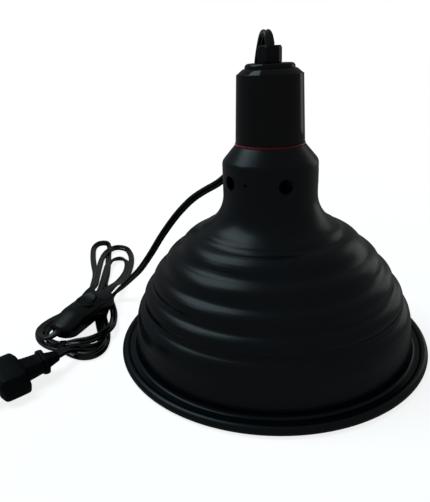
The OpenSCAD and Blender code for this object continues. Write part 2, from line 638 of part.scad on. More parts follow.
// Plug: lofted through its cuts, blades let into its face
module on_plug() translate(plug_at) rotate([0, 0, plug_turn]) rotate([plug_roll, 0, 0]) children();
module plug_section(w, h) {
    edge = 2;
    offset(r = edge, $fn = 32) polygon([for (s = [[1, 0.18], [0.58, 0.5], [-0.58, 0.5], [-1, 0.18],
        [-1, -0.18], [-0.58, -0.5], [0.58, -0.5], [1, -0.18]])
        [s[0] * (w / 2 - edge), s[1] * (h - 2 * edge)]]);
}
module plug_slice(c) translate([c[0], 0, 0]) rotate([90, 0, 90])
    linear_extrude(0.02) plug_section(max(c[1] * plug_w, 5), max(c[2] * plug_h, 5));
module plug_body() color(cord_black) on_plug() difference() {
    for (i = [0:len(plug_cuts) - 2]) hull() {
        plug_slice(plug_cuts[i]);
        plug_slice(plug_cuts[i + 1]);
    }
    for (s = [-1, 1]) translate([0, s * blade_pitch / 2, 0]) blade_shape(blade_width(s), 0);
}
function blade_width(s) = s < 0 ? 6.3 : 7.9;
// Flat blade with a clipped end and the usual round hole near it
module blade_shape(w, hole_d) rotate([90, 0, 0]) translate([0, 0, -blade_t / 2]) linear_extrude(blade_t) difference() {
    polygon([[-blade_depth, -w / 2], [blade_l - 1.5, -w / 2], [blade_l, -w / 2 + 1.5],
        [blade_l, w / 2 - 1.5], [blade_l - 1.5, w / 2], [-blade_depth, w / 2]]);
    if (hole_d > 0) translate([blade_l - 4.2, 0]) circle(d = hole_d);
}
module plug_blades() color(nickel_white) on_plug() for (s = [-1, 1])
    translate([0, s * blade_pitch / 2, 0]) blade_shape(blade_width(s), 3.1);

dome_shade();
seal_ring();
socket_case();
case_cap();
gland_nut();
gland_collet();
gland_stem();
lock_nut();
lampholder_body();
screw_shell();
centre_contact();
contact_rivets();
terminal_blocks();
terminal_screws();
shade_ring();
core_leads();
cord_inlet();
cord_lead();
cord_hank();
cord_tail();
cord_switch_far();
cord_switch_near();
hank_tie();
switch_base();
switch_cover();
switch_rocker();
rocker_plunger();
rocker_spring();
contact_lever();
fulcrum_terminal();
contact_terminal();
switch_terminal_screws();
switch_cores();
switch_screws();
plug_body();
plug_blades();
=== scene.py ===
# %% [markdown]
# # A dome heat lamp and its cord
# The lamp stands on its rim, as a shop photograph shows it: a ribbed black shade, a red seal, a glossy
# case with a stepped cap, and a flat twin cord that runs to an in-line switch and a plug. The engineering
# model is loaded first and never moved. Every piece made here sits in the same frame, in metres, and
# either dresses a solid of that model or stands in for it.

# %% Load the frame and measure it
import math

import bmesh
import bpy
import numpy as np
from mathutils import Matrix, Vector


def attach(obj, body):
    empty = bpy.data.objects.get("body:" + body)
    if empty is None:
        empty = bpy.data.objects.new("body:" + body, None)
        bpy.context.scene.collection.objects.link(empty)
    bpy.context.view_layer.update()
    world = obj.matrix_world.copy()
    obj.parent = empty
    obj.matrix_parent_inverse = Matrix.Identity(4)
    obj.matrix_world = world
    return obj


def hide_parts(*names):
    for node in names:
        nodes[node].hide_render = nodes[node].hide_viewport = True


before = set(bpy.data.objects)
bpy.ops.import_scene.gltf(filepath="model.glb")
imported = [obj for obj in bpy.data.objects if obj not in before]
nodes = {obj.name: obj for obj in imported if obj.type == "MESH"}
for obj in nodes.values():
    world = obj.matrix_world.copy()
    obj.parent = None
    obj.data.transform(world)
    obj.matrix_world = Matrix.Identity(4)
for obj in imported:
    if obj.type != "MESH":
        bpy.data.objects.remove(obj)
scene = bpy.context.scene
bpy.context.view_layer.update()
mm = 0.001

# %% [markdown]
# ## The camera
# The photograph looks down on the lamp from a little above. A camera is a place, three directions and a
# focal length. Eyeballing the angle in the viewport would do for a sketch; here the directions were
# worked out from the rim's ellipse and the red seal, so the numbers are written straight into the
# camera's matrix.

# %% Camera at the photograph's viewpoint
photo_size = (430, 502)
focal_px = 508.8
look = Vector((-0.10803, 0.92489, -0.36457))
right = Vector((0.99415, 0.09969, -0.04167))
up = Vector((0.00220, 0.36694, 0.93025))
cam_data = bpy.data.cameras.new("photo_camera")
cam_data.sensor_width = 36.0
cam_data.lens = 36.0 * focal_px / max(photo_size)
cam_data.clip_start = 0.01
camera = bpy.data.objects.new("photo_camera", cam_data)
turn = Matrix((right, up, -look)).transposed().to_4x4()
camera.matrix_world = Matrix.Translation(Vector((0, -330, 197.3)) * mm) @ turn
scene.collection.objects.link(camera)
scene.camera = camera
print("camera: lens", round(cam_data.lens, 2), "mm")

# %% [markdown]
# ## Light and floor
# Black things are drawn by what they reflect, so the light matters more than the paint. One big soft
# square of light hangs high up, to the left of the lamp and a little behind it; the gleams on the ledges
# show where it must be. A weak tall one on the right draws the bright line down the case, and the world
# gives an even dim light. The white background is not made by flooding the scene: camera, glossy and
# transmission rays simply see a white world, while the light that falls on the lamp stays at a plain
# level. The floor is white to the same rays, except under the shade, so that the vents look into the
# dark. Near the lamp it keeps a small share of its own shading, so that the shadows show.

# %% World and lamps
scene.view_settings.view_transform = "Standard"
world = bpy.data.worlds.new("studio_world")
world.use_nodes = True
scene.world = world
wt = world.node_tree
wt.nodes.clear()
world_out = wt.nodes.new("ShaderNodeOutputWorld")
dim_light = wt.nodes.new("ShaderNodeBackground")
dim_light.inputs["Color"].default_value = (0.95, 0.98, 1.0, 1)
dim_light.inputs["Strength"].default_value = 0.15
white_back = wt.nodes.new("ShaderNodeBackground")
white_back.inputs["Color"].default_value = (1, 1, 1, 1)


def seen_rays(tree):
    ray = tree.nodes.new("ShaderNodeLightPath")
    seen = ray.outputs["Is Camera Ray"]
    for also in ("Is Glossy Ray", "Is Transmission Ray"):
        either = tree.nodes.new("ShaderNodeMath")
        either.operation = "MAXIMUM"
        tree.links.new(seen, either.inputs[0])
        tree.links.new(ray.outputs[also], either.inputs[1])
        seen = either.outputs[0]
    return seen


world_mix = wt.nodes.new("ShaderNodeMixShader")
wt.links.new(seen_rays(wt), world_mix.inputs[0])
wt.links.new(dim_light.outputs[0], world_mix.inputs[1])
wt.links.new(white_back.outputs[0], world_mix.inputs[2])
wt.links.new(world_mix.outputs[0], world_out.inputs[0])


def soft_lamp(name, place, aim, size, watts):
    data = bpy.data.lights.new(name, "AREA")
    data.shape = "RECTANGLE"
    data.size, data.size_y = size
    data.energy = watts
    lamp = bpy.data.objects.new(name, data)
    lamp.location = place
    lamp.rotation_euler = (Vector(aim) - Vector(place)).to_track_quat("-Z", "Y").to_euler()
    scene.collection.objects.link(lamp)
    return lamp


key_lamp = soft_lamp("key_lamp", (-0.80, 0.22, 1.30), (0, 0, 0.1), (0.9, 0.9), 31)
key_lamp.data.color = (0.76, 1.0, 1.08)
fill_lamp = soft_lamp("fill_lamp", (0.60, 0.50, 0.25), (0, 0, 0.13), (0.3, 0.5), 1.8)
print("lamps: key", key_lamp.data.energy, "W, fill", fill_lamp.data.energy, "W")

# %% Floor
floor_half, under_shade = 40, 0.1
floor_mesh = bpy.data.meshes.new("floor")
floor_corners = [(-floor_half, -floor_half, 0), (floor_half, -floor_half, 0), (floor_half, floor_half, 0),
                 (-floor_half, floor_half, 0)]
floor_mesh.from_pydata(floor_corners, [], [(0, 1, 2, 3)])
floor = bpy.data.objects.new("floor", floor_mesh)
scene.collection.objects.link(floor)
floor_mat = bpy.data.materials.new("pale_floor")
floor_mat.use_nodes = True
ft = floor_mat.node_tree
ft.nodes.clear()
floor_out = ft.nodes.new("ShaderNodeOutputMaterial")
floor_lit = ft.nodes.new("ShaderNodeBsdfDiffuse")
floor_lit.inputs["Color"].default_value = (0.92, 0.92, 0.92, 1)
floor_white = ft.nodes.new("ShaderNodeEmission")
floor_white.inputs["Color"].default_value = (1, 1, 1, 1)
floor_at = ft.nodes.new("ShaderNodeTexCoord")
floor_far = ft.nodes.new("ShaderNodeVectorMath")
floor_far.operation = "LENGTH"
floor_fade = ft.nodes.new("ShaderNodeMapRange")
floor_fade.interpolation_type = "SMOOTHSTEP"
for label, value in (("From Min", 0.2), ("From Max", 0.6), ("To Min", 0.84), ("To Max", 1.0)):
    floor_fade.inputs[label].default_value = value
ft.links.new(floor_at.outputs["Object"], floor_far.inputs[0])
ft.links.new(floor_far.outputs["Value"], floor_fade.inputs["Value"])
floor_open = ft.nodes.new("ShaderNodeMath")
floor_open.operation = "GREATER_THAN"
floor_open.inputs[1].default_value = under_shade
ft.links.new(floor_far.outputs["Value"], floor_open.inputs[0])


def product(tree, a, b):
    times = tree.nodes.new("ShaderNodeMath")
    times.operation = "MULTIPLY"
    tree.links.new(a, times.inputs[0])
    tree.links.new(b, times.inputs[1])
    return times.outputs[0]


floor_seen = product(ft, seen_rays(ft), floor_open.outputs[0])
floor_mix = ft.nodes.new("ShaderNodeMixShader")
ft.links.new(product(ft, floor_seen, floor_fade.outputs["Result"]), floor_mix.inputs[0])
ft.links.new(floor_lit.outputs[0], floor_mix.inputs[1])
ft.links.new(floor_white.outputs[0], floor_mix.inputs[2])
ft.links.new(floor_mix.outputs[0], floor_out.inputs[0])
floor_mesh.materials.append(floor_mat)
print("floor:", 2 * floor_half, "m wide, dark within", under_shade, "m of the middle")

# %% [markdown]
# ## One skin for all the finishes
# Paint, moulded plastic, rubber and metal differ in colour and gloss, but they share one thing: nothing
# real is perfectly even. A node group makes that unevenness once. It gives a colour that drifts a little,
# a roughness that varies in soft patches, a coat that varies with the grain, and a height for the grain
# itself. Each material places the group with its own values and keeps its shader to itself.

# %% Shared skin group
skin = bpy.data.node_groups.new("uneven_skin", "ShaderNodeTree")
for label, kind, value in (
    ("Colour", "NodeSocketColor", (0.02, 0.02, 0.02, 1)),
    ("Drift", "NodeSocketColor", (0.03, 0.03, 0.03, 1)),
    ("Patch Scale", "NodeSocketFloat", 30.0),
    ("Grain Scale", "NodeSocketFloat", 2500.0),
    ("Rough Low", "NodeSocketFloat", 0.4),
    ("Rough High", "NodeSocketFloat", 0.5),
    ("Coat Low", "NodeSocketFloat", 0.0),
    ("Coat High", "NodeSocketFloat", 0.0),
):
    socket = skin.interface.new_socket(label, in_out="INPUT", socket_type=kind)
    socket.default_value = value
for label, kind in (("Colour", "NodeSocketColor"), ("Roughness", "NodeSocketFloat"),
                    ("Grain", "NodeSocketFloat"), ("Coat", "NodeSocketFloat")):
    skin.interface.new_socket(label, in_out="OUTPUT", socket_type=kind)
skin_in = skin.nodes.new("NodeGroupInput")
skin_out = skin.nodes.new("NodeGroupOutput")
where = skin.nodes.new("ShaderNodeTexCoord")
patches = skin.nodes.new("ShaderNodeTexNoise")
patches.inputs["Detail"].default_value = 4
grain = skin.nodes.new("ShaderNodeTexNoise")
grain.inputs["Detail"].default_value = 2
patch_mask = skin.nodes.new("ShaderNodeMapRange")
patch_mask.inputs["From Min"].default_value = 0.35
patch_mask.inputs["From Max"].default_value = 0.65
drift = skin.nodes.new("ShaderNodeMix")
drift.data_type = "RGBA"
rough = skin.nodes.new("ShaderNodeMapRange")
skin.links.new(where.outputs["Object"], patches.inputs["Vector"])
skin.links.new(where.outputs["Object"], grain.inputs["Vector"])
skin.links.new(skin_in.outputs["Patch Scale"], patches.inputs["Scale"])
skin.links.new(skin_in.outputs["Grain Scale"], grain.inputs["Scale"])
skin.links.new(patches.outputs["Fac"], patch_mask.inputs["Value"])
skin.links.new(patch_mask.outputs["Result"], drift.inputs["Factor"])
skin.links.new(skin_in.outputs["Colour"], drift.inputs["A"])
skin.links.new(skin_in.outputs["Drift"], drift.inputs["B"])
skin.links.new(patch_mask.outputs["Result"], rough.inputs["Value"])
skin.links.new(skin_in.outputs["Rough Low"], rough.inputs["To Min"])
skin.links.new(skin_in.outputs["Rough High"], rough.inputs["To Max"])
skin.links.new(drift.outputs["Result"], skin_out.inputs["Colour"])
skin.links.new(rough.outputs["Result"], skin_out.inputs["Roughness"])
skin.links.new(grain.outputs["Fac"], skin_out.inputs["Grain"])
speckle = skin.nodes.new("ShaderNodeMapRange")
speckle.inputs["From Min"].default_value = 0.3
speckle.inputs["From Max"].default_value = 0.7
skin.links.new(grain.outputs["Fac"], speckle.inputs["Value"])
skin.links.new(skin_in.outputs["Coat Low"], speckle.inputs["To Min"])
skin.links.new(skin_in.outputs["Coat High"], speckle.inputs["To Max"])
skin.links.new(speckle.outputs["Result"], skin_out.inputs["Coat"])
print("skin group:", [s.name for s in skin.interface.items_tree])

# %% [markdown]
# ## Rings left by the spinning
# Sheet metal that is pressed over a turning former keeps fine rings. Modelling each one would take far
# too many faces. A second group turns the distance from the lamp's axis and the height into noise, which
# is then the same all the way round, and the paint and the bare metal use it as a slight bump.

# %% Spun ring group
spun = bpy.data.node_groups.new("spun_rings", "ShaderNodeTree")
ring_socket = spun.interface.new_socket("Ring Scale", in_out="INPUT", socket_type="NodeSocketFloat")
ring_socket.default_value = 700.0
spun.interface.new_socket("Height", in_out="OUTPUT", socket_type="NodeSocketFloat")
spun_in = spun.nodes.new("NodeGroupInput")
spun_out = spun.nodes.new("NodeGroupOutput")
spun_at = spun.nodes.new("ShaderNodeTexCoord")
spun_xyz = spun.nodes.new("ShaderNodeSeparateXYZ")
spun_flat = spun.nodes.new("ShaderNodeCombineXYZ")
spun_far = spun.nodes.new("ShaderNodeVectorMath")
spun_far.operation = "LENGTH"
spun_pair = spun.nodes.new("ShaderNodeCombineXYZ")
spun_noise = spun.nodes.new("ShaderNodeTexNoise")
spun_noise.inputs["Detail"].default_value = 2
spun.links.new(spun_at.outputs["Object"], spun_xyz.inputs[0])
spun.links.new(spun_xyz.outputs[0], spun_flat.inputs[0])
spun.links.new(spun_xyz.outputs[1], spun_flat.inputs[1])
spun.links.new(spun_flat.outputs[0], spun_far.inputs[0])
spun.links.new(spun_far.outputs["Value"], spun_pair.inputs[0])
spun.links.new(spun_xyz.outputs[2], spun_pair.inputs[1])
spun.links.new(spun_pair.outputs[0], spun_noise.inputs["Vector"])
spun.links.new(spun_in.outputs["Ring Scale"], spun_noise.inputs["Scale"])
spun.links.new(spun_noise.outputs["Fac"], spun_out.inputs["Height"])
print("spun ring group:", len(spun.nodes), "nodes")

# %% [markdown]
# ## The lamp's finishes
# The shade has a matt paint and the case a high gloss, the switch and the plug are plain mouldings, and
# the cord's sheath has a soft sheen. All of them are close to black, so what tells them apart is how they
# mirror the room. The shader's plain specular layer would make every black grey. A thin coat with its own
# weight and roughness can be set as low as each piece needs, so the blacks have only that.

# %% A finish made from the skin
bump_depth = 0.4 * mm


def finish(name, colour, drift_to, rough_range, patch, grain_scale, bump, metallic=0.0, specular=0.5,
           coat=None, coat_rough=0.1, rings=0.0, ring_scale=700):
    mat = bpy.data.materials.new(name)
    mat.use_nodes = True
    tree = mat.node_tree
    bsdf = tree.nodes["Principled BSDF"]
    bsdf.inputs["Metallic"].default_value = metallic
    bsdf.inputs["Specular IOR Level"].default_value = specular
    bsdf.inputs["Coat Roughness"].default_value = coat_rough
    group = tree.nodes.new("ShaderNodeGroup")
    group.node_tree = skin
    group.inputs["Colour"].default_value = (*colour, 1)
    group.inputs["Drift"].default_value = (*drift_to, 1)
    group.inputs["Patch Scale"].default_value = patch
    group.inputs["Grain Scale"].default_value = grain_scale
    group.inputs["Rough Low"].default_value = rough_range[0]
    group.inputs["Rough High"].default_value = rough_range[1]
    tree.links.new(group.outputs["Colour"], bsdf.inputs["Base Color"])
    tree.links.new(group.outputs["Roughness"], bsdf.inputs["Roughness"])
    if coat:
        group.inputs["Coat Low"].default_value = coat[0]
        group.inputs["Coat High"].default_value = coat[1]
        tree.links.new(group.outputs["Coat"], bsdf.inputs["Coat Weight"])
    grain_bump = tree.nodes.new("ShaderNodeBump")
    grain_bump.inputs["Strength"].default_value = bump
    grain_bump.inputs["Distance"].default_value = bump_depth
    tree.links.new(group.outputs["Grain"], grain_bump.inputs["Height"])
    tree.links.new(grain_bump.outputs["Normal"], bsdf.inputs["Normal"])
    if rings:
        marks = tree.nodes.new("ShaderNodeGroup")
        marks.node_tree = spun
        marks.inputs["Ring Scale"].default_value = ring_scale
        ring_bump = tree.nodes.new("ShaderNodeBump")
        ring_bump.inputs["Strength"].default_value = rings
        ring_bump.inputs["Distance"].default_value = bump_depth
        tree.links.new(marks.outputs["Height"], ring_bump.inputs["Height"])
        tree.links.new(ring_bump.outputs["Normal"], grain_bump.inputs["Normal"])
    return mat


print("finish: grain and rings at most", bump_depth / mm, "mm deep")

# %% Paint, mouldings, rubber and metals
matt_paint = finish(
    "matt_black_paint", (0.0003, 0.0011, 0.0017), (0.0005, 0.0016, 0.0023),
    rough_range=(0.5, 0.6), patch=40, grain_scale=1800, bump=0.10, specular=0.0, coat=(0.080, 0.120),
    coat_rough=0.29, rings=0.07, ring_scale=500)
case_gloss = finish(
    "glossy_case", (0.0008, 0.0010, 0.0013), (0.0012, 0.0014, 0.0018),
    rough_range=(0.10, 0.16), patch=25, grain_scale=900, bump=0.01, specular=0.0, coat=(0.08, 0.095),
    coat_rough=0.07)
seal_red = finish(
    "red_silicone", (0.066, 0.006, 0.009), (0.082, 0.009, 0.013),
    rough_range=(0.45, 0.6), patch=60, grain_scale=2000, bump=0.05, specular=0.03)
cord_black = finish(
    "cord_sheath", (0.0010, 0.0013, 0.0015), (0.0015, 0.0018, 0.0021),
    rough_range=(0.35, 0.45), patch=60, grain_scale=1500, bump=0.05, specular=0.0, coat=(0.13, 0.18),
    coat_rough=0.13)
switch_black = finish(
    "switch_moulding", (0.0014, 0.0018, 0.0021), (0.0020, 0.0025, 0.0028),
    rough_range=(0.4, 0.5), patch=50, grain_scale=2200, bump=0.08, specular=0.0, coat=(0.06, 0.09),
    coat_rough=0.27)
plug_black = finish(
    "plug_moulding", (0.0010, 0.0013, 0.0015), (0.0014, 0.0018, 0.0020),
    rough_range=(0.5, 0.6), patch=50, grain_scale=2200, bump=0.10, specular=0.0, coat=(0.03, 0.045),
    coat_rough=0.42)
bare_metal = finish(
    "spun_aluminium", (0.66, 0.67, 0.68), (0.58, 0.59, 0.60),
    rough_range=(0.26, 0.38), patch=60, grain_scale=2400, bump=0.04, metallic=1.0, rings=0.10,
    ring_scale=900)
# The lampholder's porcelain is given a near-black colour, which keeps the view into the neck through the
# vents dark.
porcelain = finish(
    "porcelain_darkened_for_vents", (0.020, 0.017, 0.015), (0.030, 0.026, 0.022),
    rough_range=(0.35, 0.5), patch=40, grain_scale=600, bump=0.05, specular=0.1)
brass = finish(
    "bright_brass", (0.70, 0.50, 0.20), (0.62, 0.43, 0.17),
    rough_range=(0.22, 0.34), patch=80, grain_scale=1200, bump=0.04, metallic=1.0)
zinc = finish(
    "zinc_plate", (0.58, 0.59, 0.60), (0.50, 0.51, 0.53),
    rough_range=(0.26, 0.40), patch=120, grain_scale=1500, bump=0.05, metallic=1.0)
nickel = finish(
    "nickel_plate", (0.72, 0.70, 0.66), (0.66, 0.64, 0.60),
    rough_range=(0.16, 0.24), patch=90, grain_scale=1500, bump=0.03, metallic=1.0)
core_skin = finish(
    "core_insulation", (0.16, 0.075, 0.035), (0.2, 0.1, 0.05),
    rough_range=(0.4, 0.5), patch=50, grain_scale=1500, bump=0.03)
soft_black = finish(
    "soft_rubber", (0.0030, 0.0032, 0.0034), (0.0045, 0.0047, 0.0050),
    rough_range=(0.55, 0.68), patch=60, grain_scale=1800, bump=0.08, specular=0.0, coat=(0.02, 0.04),
    coat_rough=0.5)
blacks = (matt_paint, case_gloss, cord_black, switch_black, plug_black, soft_black)
print("blacks:", [m.name for m in blacks])

# %% Dress the solids
dress = {
    matt_paint: ("dome_shade",),
    case_gloss: ("socket_case", "case_cap"),
    seal_red: ("seal_ring",),
    porcelain: ("lampholder_body",),
    brass: ("screw_shell", "centre_contact", "contact_rivets", "terminal_blocks", "contact_lever",
            "fulcrum_terminal", "contact_terminal"),
    zinc: ("gland_stem", "lock_nut", "terminal_screws", "shade_ring", "rocker_plunger", "rocker_spring",
           "switch_terminal_screws", "switch_screws"),
    switch_black: ("gland_nut", "switch_base", "switch_cover", "switch_rocker"),
    plug_black: ("plug_body",),
    nickel: ("plug_blades",),
    core_skin: ("core_leads", "switch_cores"),
    soft_black: ("gland_collet", "hank_tie"),
    cord_black: ("cord_inlet", "cord_lead", "cord_hank", "cord_tail", "cord_switch_far",
                 "cord_switch_near"),
}
for mat, names in dress.items():
    for name in names:
        nodes[name].data.materials.clear()
        nodes[name].data.materials.append(mat)
print("dressed:", sum(len(n) for n in dress.values()), "solids in", len(dress), "finishes")

# %% [markdown]
# ## The flat twin cord
# Two cores lie side by side in one sheath, so the cord's section is a shallow figure of eight, twice as
# wide as it is thick. A curve with a bevel would be quick, but a flat cord must also turn its flat side
# the right way: down on the table along the legs, half on edge where a loop turns back. So the section is
# swept in code. The width direction is carried along the route without twist, and a slow extra turn
# brings the flat side to the table where it lies. The route is a smooth curve through its points, and a
# few passes of averaging ease the corners that are left.

# %% A smooth line through the points of a route
corner_passes = 6


def smooth_route(points, spacing):
    p = np.array(points, float)
    p = np.vstack([2 * p[0] - p[1], p, 2 * p[-1] - p[-2]])
    out = []
    where_point = []
    for i in range(1, len(p) - 2):
        a, b, c, d = p[i - 1], p[i], p[i + 1], p[i + 2]
        t0 = 0.0
        t1 = t0 + np.linalg.norm(b - a) ** 0.5
        t2 = t1 + np.linalg.norm(c - b) ** 0.5
        t3 = t2 + np.linalg.norm(d - c) ** 0.5
        where_point.append(len(out))
        steps = max(2, int(np.linalg.norm(c - b) / spacing))
        for t in np.linspace(t1, t2, steps, endpoint=False):
            ab = (t1 - t) / (t1 - t0) * a + (t - t0) / (t1 - t0) * b
            bc = (t2 - t) / (t2 - t1) * b + (t - t1) / (t2 - t1) * c
            cd = (t3 - t) / (t3 - t2) * c + (t - t2) / (t3 - t2) * d
            abc = (t2 - t) / (t2 - t0) * ab + (t - t0) / (t2 - t0) * bc
            bcd = (t3 - t) / (t3 - t1) * bc + (t - t1) / (t3 - t1) * cd
            out.append((t2 - t) / (t2 - t1) * abc + (t - t1) / (t2 - t1) * bcd)
    where_point.append(len(out))
    out.append(p[-2])
    line = np.array(out)
    for _ in range(corner_passes):
        line[2:-2] = 0.5 * line[2:-2] + 0.25 * (line[1:-3] + line[3:-1])
    return line, where_point


print("route corners: averaged", corner_passes, "times")

# %% Section of the twin cord
cord_width = 5.8 * mm
cord_thick = 2.9 * mm


def twin_section(count=28):
    ring = []
    core = cord_thick / 2
    for k in range(count):
        a = 2 * math.pi * (k + 0.5) / count
        x = math.cos(a) * cord_width / 2
        off = min(abs(x), cord_width / 2) - core
        lobe = math.sqrt(max(core * core - off * off, 0.0))
        web = 0.45 * core
        y = max(lobe, web) if abs(x) < core else lobe
        ring.append((x, math.copysign(y, math.sin(a))))
    return ring


print("cord section:", len(twin_section()), "points")

# %% Sweep the section along a route
roll_window = 9


def flat_cord(name, route, start_width, material, spacing=1.6 * mm):
    line, at = smooth_route([[c * mm for c in r[:3]] for r in route], spacing)
    n = len(line)
    tangent = np.gradient(line, axis=0)
    tangent /= np.linalg.norm(tangent, axis=1)[:, None]
    wide = np.zeros((n, 3))
    w = np.array(start_width, float)
    for i in range(n):
        w = w - tangent[i] * (w @ tangent[i])
        w /= np.linalg.norm(w)
        wide[i] = w
    keys_at, keys = [], []
    for i, r in enumerate(route):
        if r[3] is None:
            continue
        j = at[i]
        side = np.cross((0, 0, 1), tangent[j])
        side /= np.linalg.norm(side)
        above = np.cross(tangent[j], side)
        lie = math.radians(r[3])
        aim = math.cos(lie) * side + math.sin(lie) * above
        normal = np.cross(tangent[j], wide[j])
        angle = math.atan2(aim @ normal, aim @ wide[j])
        last = keys[-1] if keys else 0.0
        angle += math.pi * round((last - angle) / math.pi)
        keys_at.append(j)
        keys.append(angle)
    roll = np.interp(np.arange(n), [0] + keys_at, [0.0] + keys) if keys else np.zeros(n)
    kernel = np.ones(roll_window) / roll_window
    roll = np.convolve(np.pad(roll, roll_window // 2, mode="edge"), kernel, mode="valid")
    section = twin_section()
    m = len(section)
    verts = []
    for i in range(n):
        normal = np.cross(tangent[i], wide[i])
        u = math.cos(roll[i]) * wide[i] + math.sin(roll[i]) * normal
        v = np.cross(tangent[i], u)
        verts += [line[i] + u * x + v * y for x, y in section]
    faces = []
    for i in range(n - 1):
        for k in range(m):
            j = (k + 1) % m
            faces.append((i * m + k, i * m + j, (i + 1) * m + j, (i + 1) * m + k))
    faces.append(tuple(range(m - 1, -1, -1)))
    faces.append(tuple(range((n - 1) * m, n * m)))
    mesh = bpy.data.meshes.new(name)
    mesh.from_pydata([tuple(v) for v in verts], [], faces)
    mesh.polygons.foreach_set("use_smooth", [True] * len(faces))
    mesh.set_sharp_from_angle(angle=math.radians(50))
    mesh.materials.append(material)
    obj = bpy.data.objects.new(name, mesh)
    scene.collection.objects.link(obj)
    length = float(np.linalg.norm(np.diff(line, axis=0), axis=1).sum())
    return obj, line, length


print("cord roll: evened over", roll_window, "steps")

# %% [markdown]
# ## Where the cord goes
# The lead rises out of the grip, bends over, runs down behind the case, leans on the neck and comes down
# to the table. There it lies in a loose hank. Three loops turn back at the far end. At the near end three
# strands fan out to the right, half on edge, and the loops turn back on the left, under the switch. The
# route is listed in millimetres, with the lie of the flat side in degrees: 0 is flat on the
# table, 90 is on edge, and None lets it follow.

# %% Lead and loops from the lamp to the switch
arch_turn = math.radians(19)
lamp_route = [
    (0, 0, 199.5, None), (0, 0, 202, None), (-1, 2.2, 206, None), (-2.5, 7, 208, None),
    (-4, 12, 206, None), (-5.2, 15.5, 201, None), (-7, 21, 192, None), (-8, 23.5, 180, None),
    (-9.5, 24.5, 160, None), (-12, 25.5, 145, None), (-17, 27, 134, None), (-23, 25.5, 125, None),
    (-29, 22.5, 117, None), (-36, 21, 111, None), (-46, 24, 105, None), (-56, 28, 98, None),
    (-67, 34, 87, None), (-76, 40, 76, None), (-87, 46, 61, None), (-97.5, 51, 45, None),
    (-110, 56, 28, 60), (-119, 58, 19, None), (-128, 57, 11, 50), (-134, 54, 6.5, None),
    (-136, 49, 4.6, 20), (-133.5, 42, 3.4, None), (-129.5, 34, 1.8, 0), (-126, 24, 1.6, 0),
    (-123.4, 14, 3, -5), (-121.2, 5, 5, -20), (-120.6, -1, 6, -35), (-121.4, -7, 6.4, -50),
    (-123.4, -12, 6.5, -65), (-126.6, -16.6, 5.9, -80), (-130.5, -19.2, 5.4, -70),
    (-135, -20.9, 5.1, -65), (-139.5, -21.3, 4.8, -60), (-144, -21.5, 4, -40), (-148, -21.8, 2.8, -8),
    (-151.5, -21.9, 2.25, 0), (-156, -20.6, 2, 0), (-161, -18, 1.9, 5), (-166, -14, 2.2, 30),
    (-169.6, -9, 2.8, 60), (-171.4, -3, 2.9, 70), (-170.8, 4, 2.8, 60), (-167.4, 14, 2.2, 30),
    (-162, 29, 1.7, 0), (-159, 42, 1.6, 0), (-157.8, 53, 1.5, 0), (-159.4, 66, 1.5, 0),
    (-162, 79, 1.5, 0), (-168, 105, 1.6, 0), (-178, 130, 1.6, 0), (-187, 155, 1.7, 0),
    (-192, 175, 2.6, 40), (-190, 187, 3, 80), (-182, 188, 3, 80), (-175.5, 176, 2.6, 40),
    (-170, 155, 1.7, 0), (-163, 130, 1.6, 0), (-156.5, 105, 1.6, 0), (-151, 80, 1.6, 0),
    (-145.5, 69, 1.6, 0), (-140, 58, 1.6, 0), (-137.5, 46, 1.5, 0), (-136, 34, 1.5, 0),
    (-134.3, 22, 1.5, 0), (-129.5, 11, 1.5, 0), (-125, 0, 1.5, 0), (-122, -9, 1.7, -10),
    (-119.8, -18, 2.5, -45), (-119, -26.4, 2.9, -75), (-120.4, -32, 3.1, -70), (-124.2, -36.5, 3.1, -65),
    (-130, -37.8, 3.1, -65), (-135.8, -36.2, 3.1, -55), (-141, -33, 2.8, -30), (-146, -29.6, 2.4, -5),
    (-150, -27.9, 2.25, 0), (-155, -26.6, 2, 0), (-160.5, -24.2, 1.9, 5), (-166, -21.2, 2.1, 20),
    (-171, -17, 2.6, 50), (-175, -10.6, 2.9, 70), (-176.6, -2, 2.9, 65), (-173.6, 11, 2.4, 40),
    (-167.6, 29, 1.7, 0), (-164, 42, 1.6, 0), (-162.4, 53, 1.8, 0), (-160.6, 62, 4.2, 0),
    (-158, 72, 4.6, 0), (-161.5, 90, 4.6, 0), (-167, 115, 4.6, 0), (-171.5, 138, 4.4, 0),
    (-172, 158, 4.4, 30), (-166, 171, 4.2, 60), (-155.5, 170, 3.4, 60), (-147, 157, 2, 20),
    (-141, 138, 1.6, 0), (-137, 115, 1.6, 0), (-135.5, 95, 2, 0), (-136, 80, 5, 0), (-136, 69, 9, 0),
    (-136, 60, 11, 0), (-136.4, 52, 11.2, None), (-137.3, 46, 10.9, 10), (-138, 43.5, 10.9, None)]
lamp_cord, lamp_line, lamp_length = flat_cord(
    "lamp_cord", lamp_route, (math.cos(arch_turn), math.sin(arch_turn), 0), cord_black)
print("lamp cord:", round(lamp_length, 3), "m,", len(lamp_cord.data.vertices), "vertices")

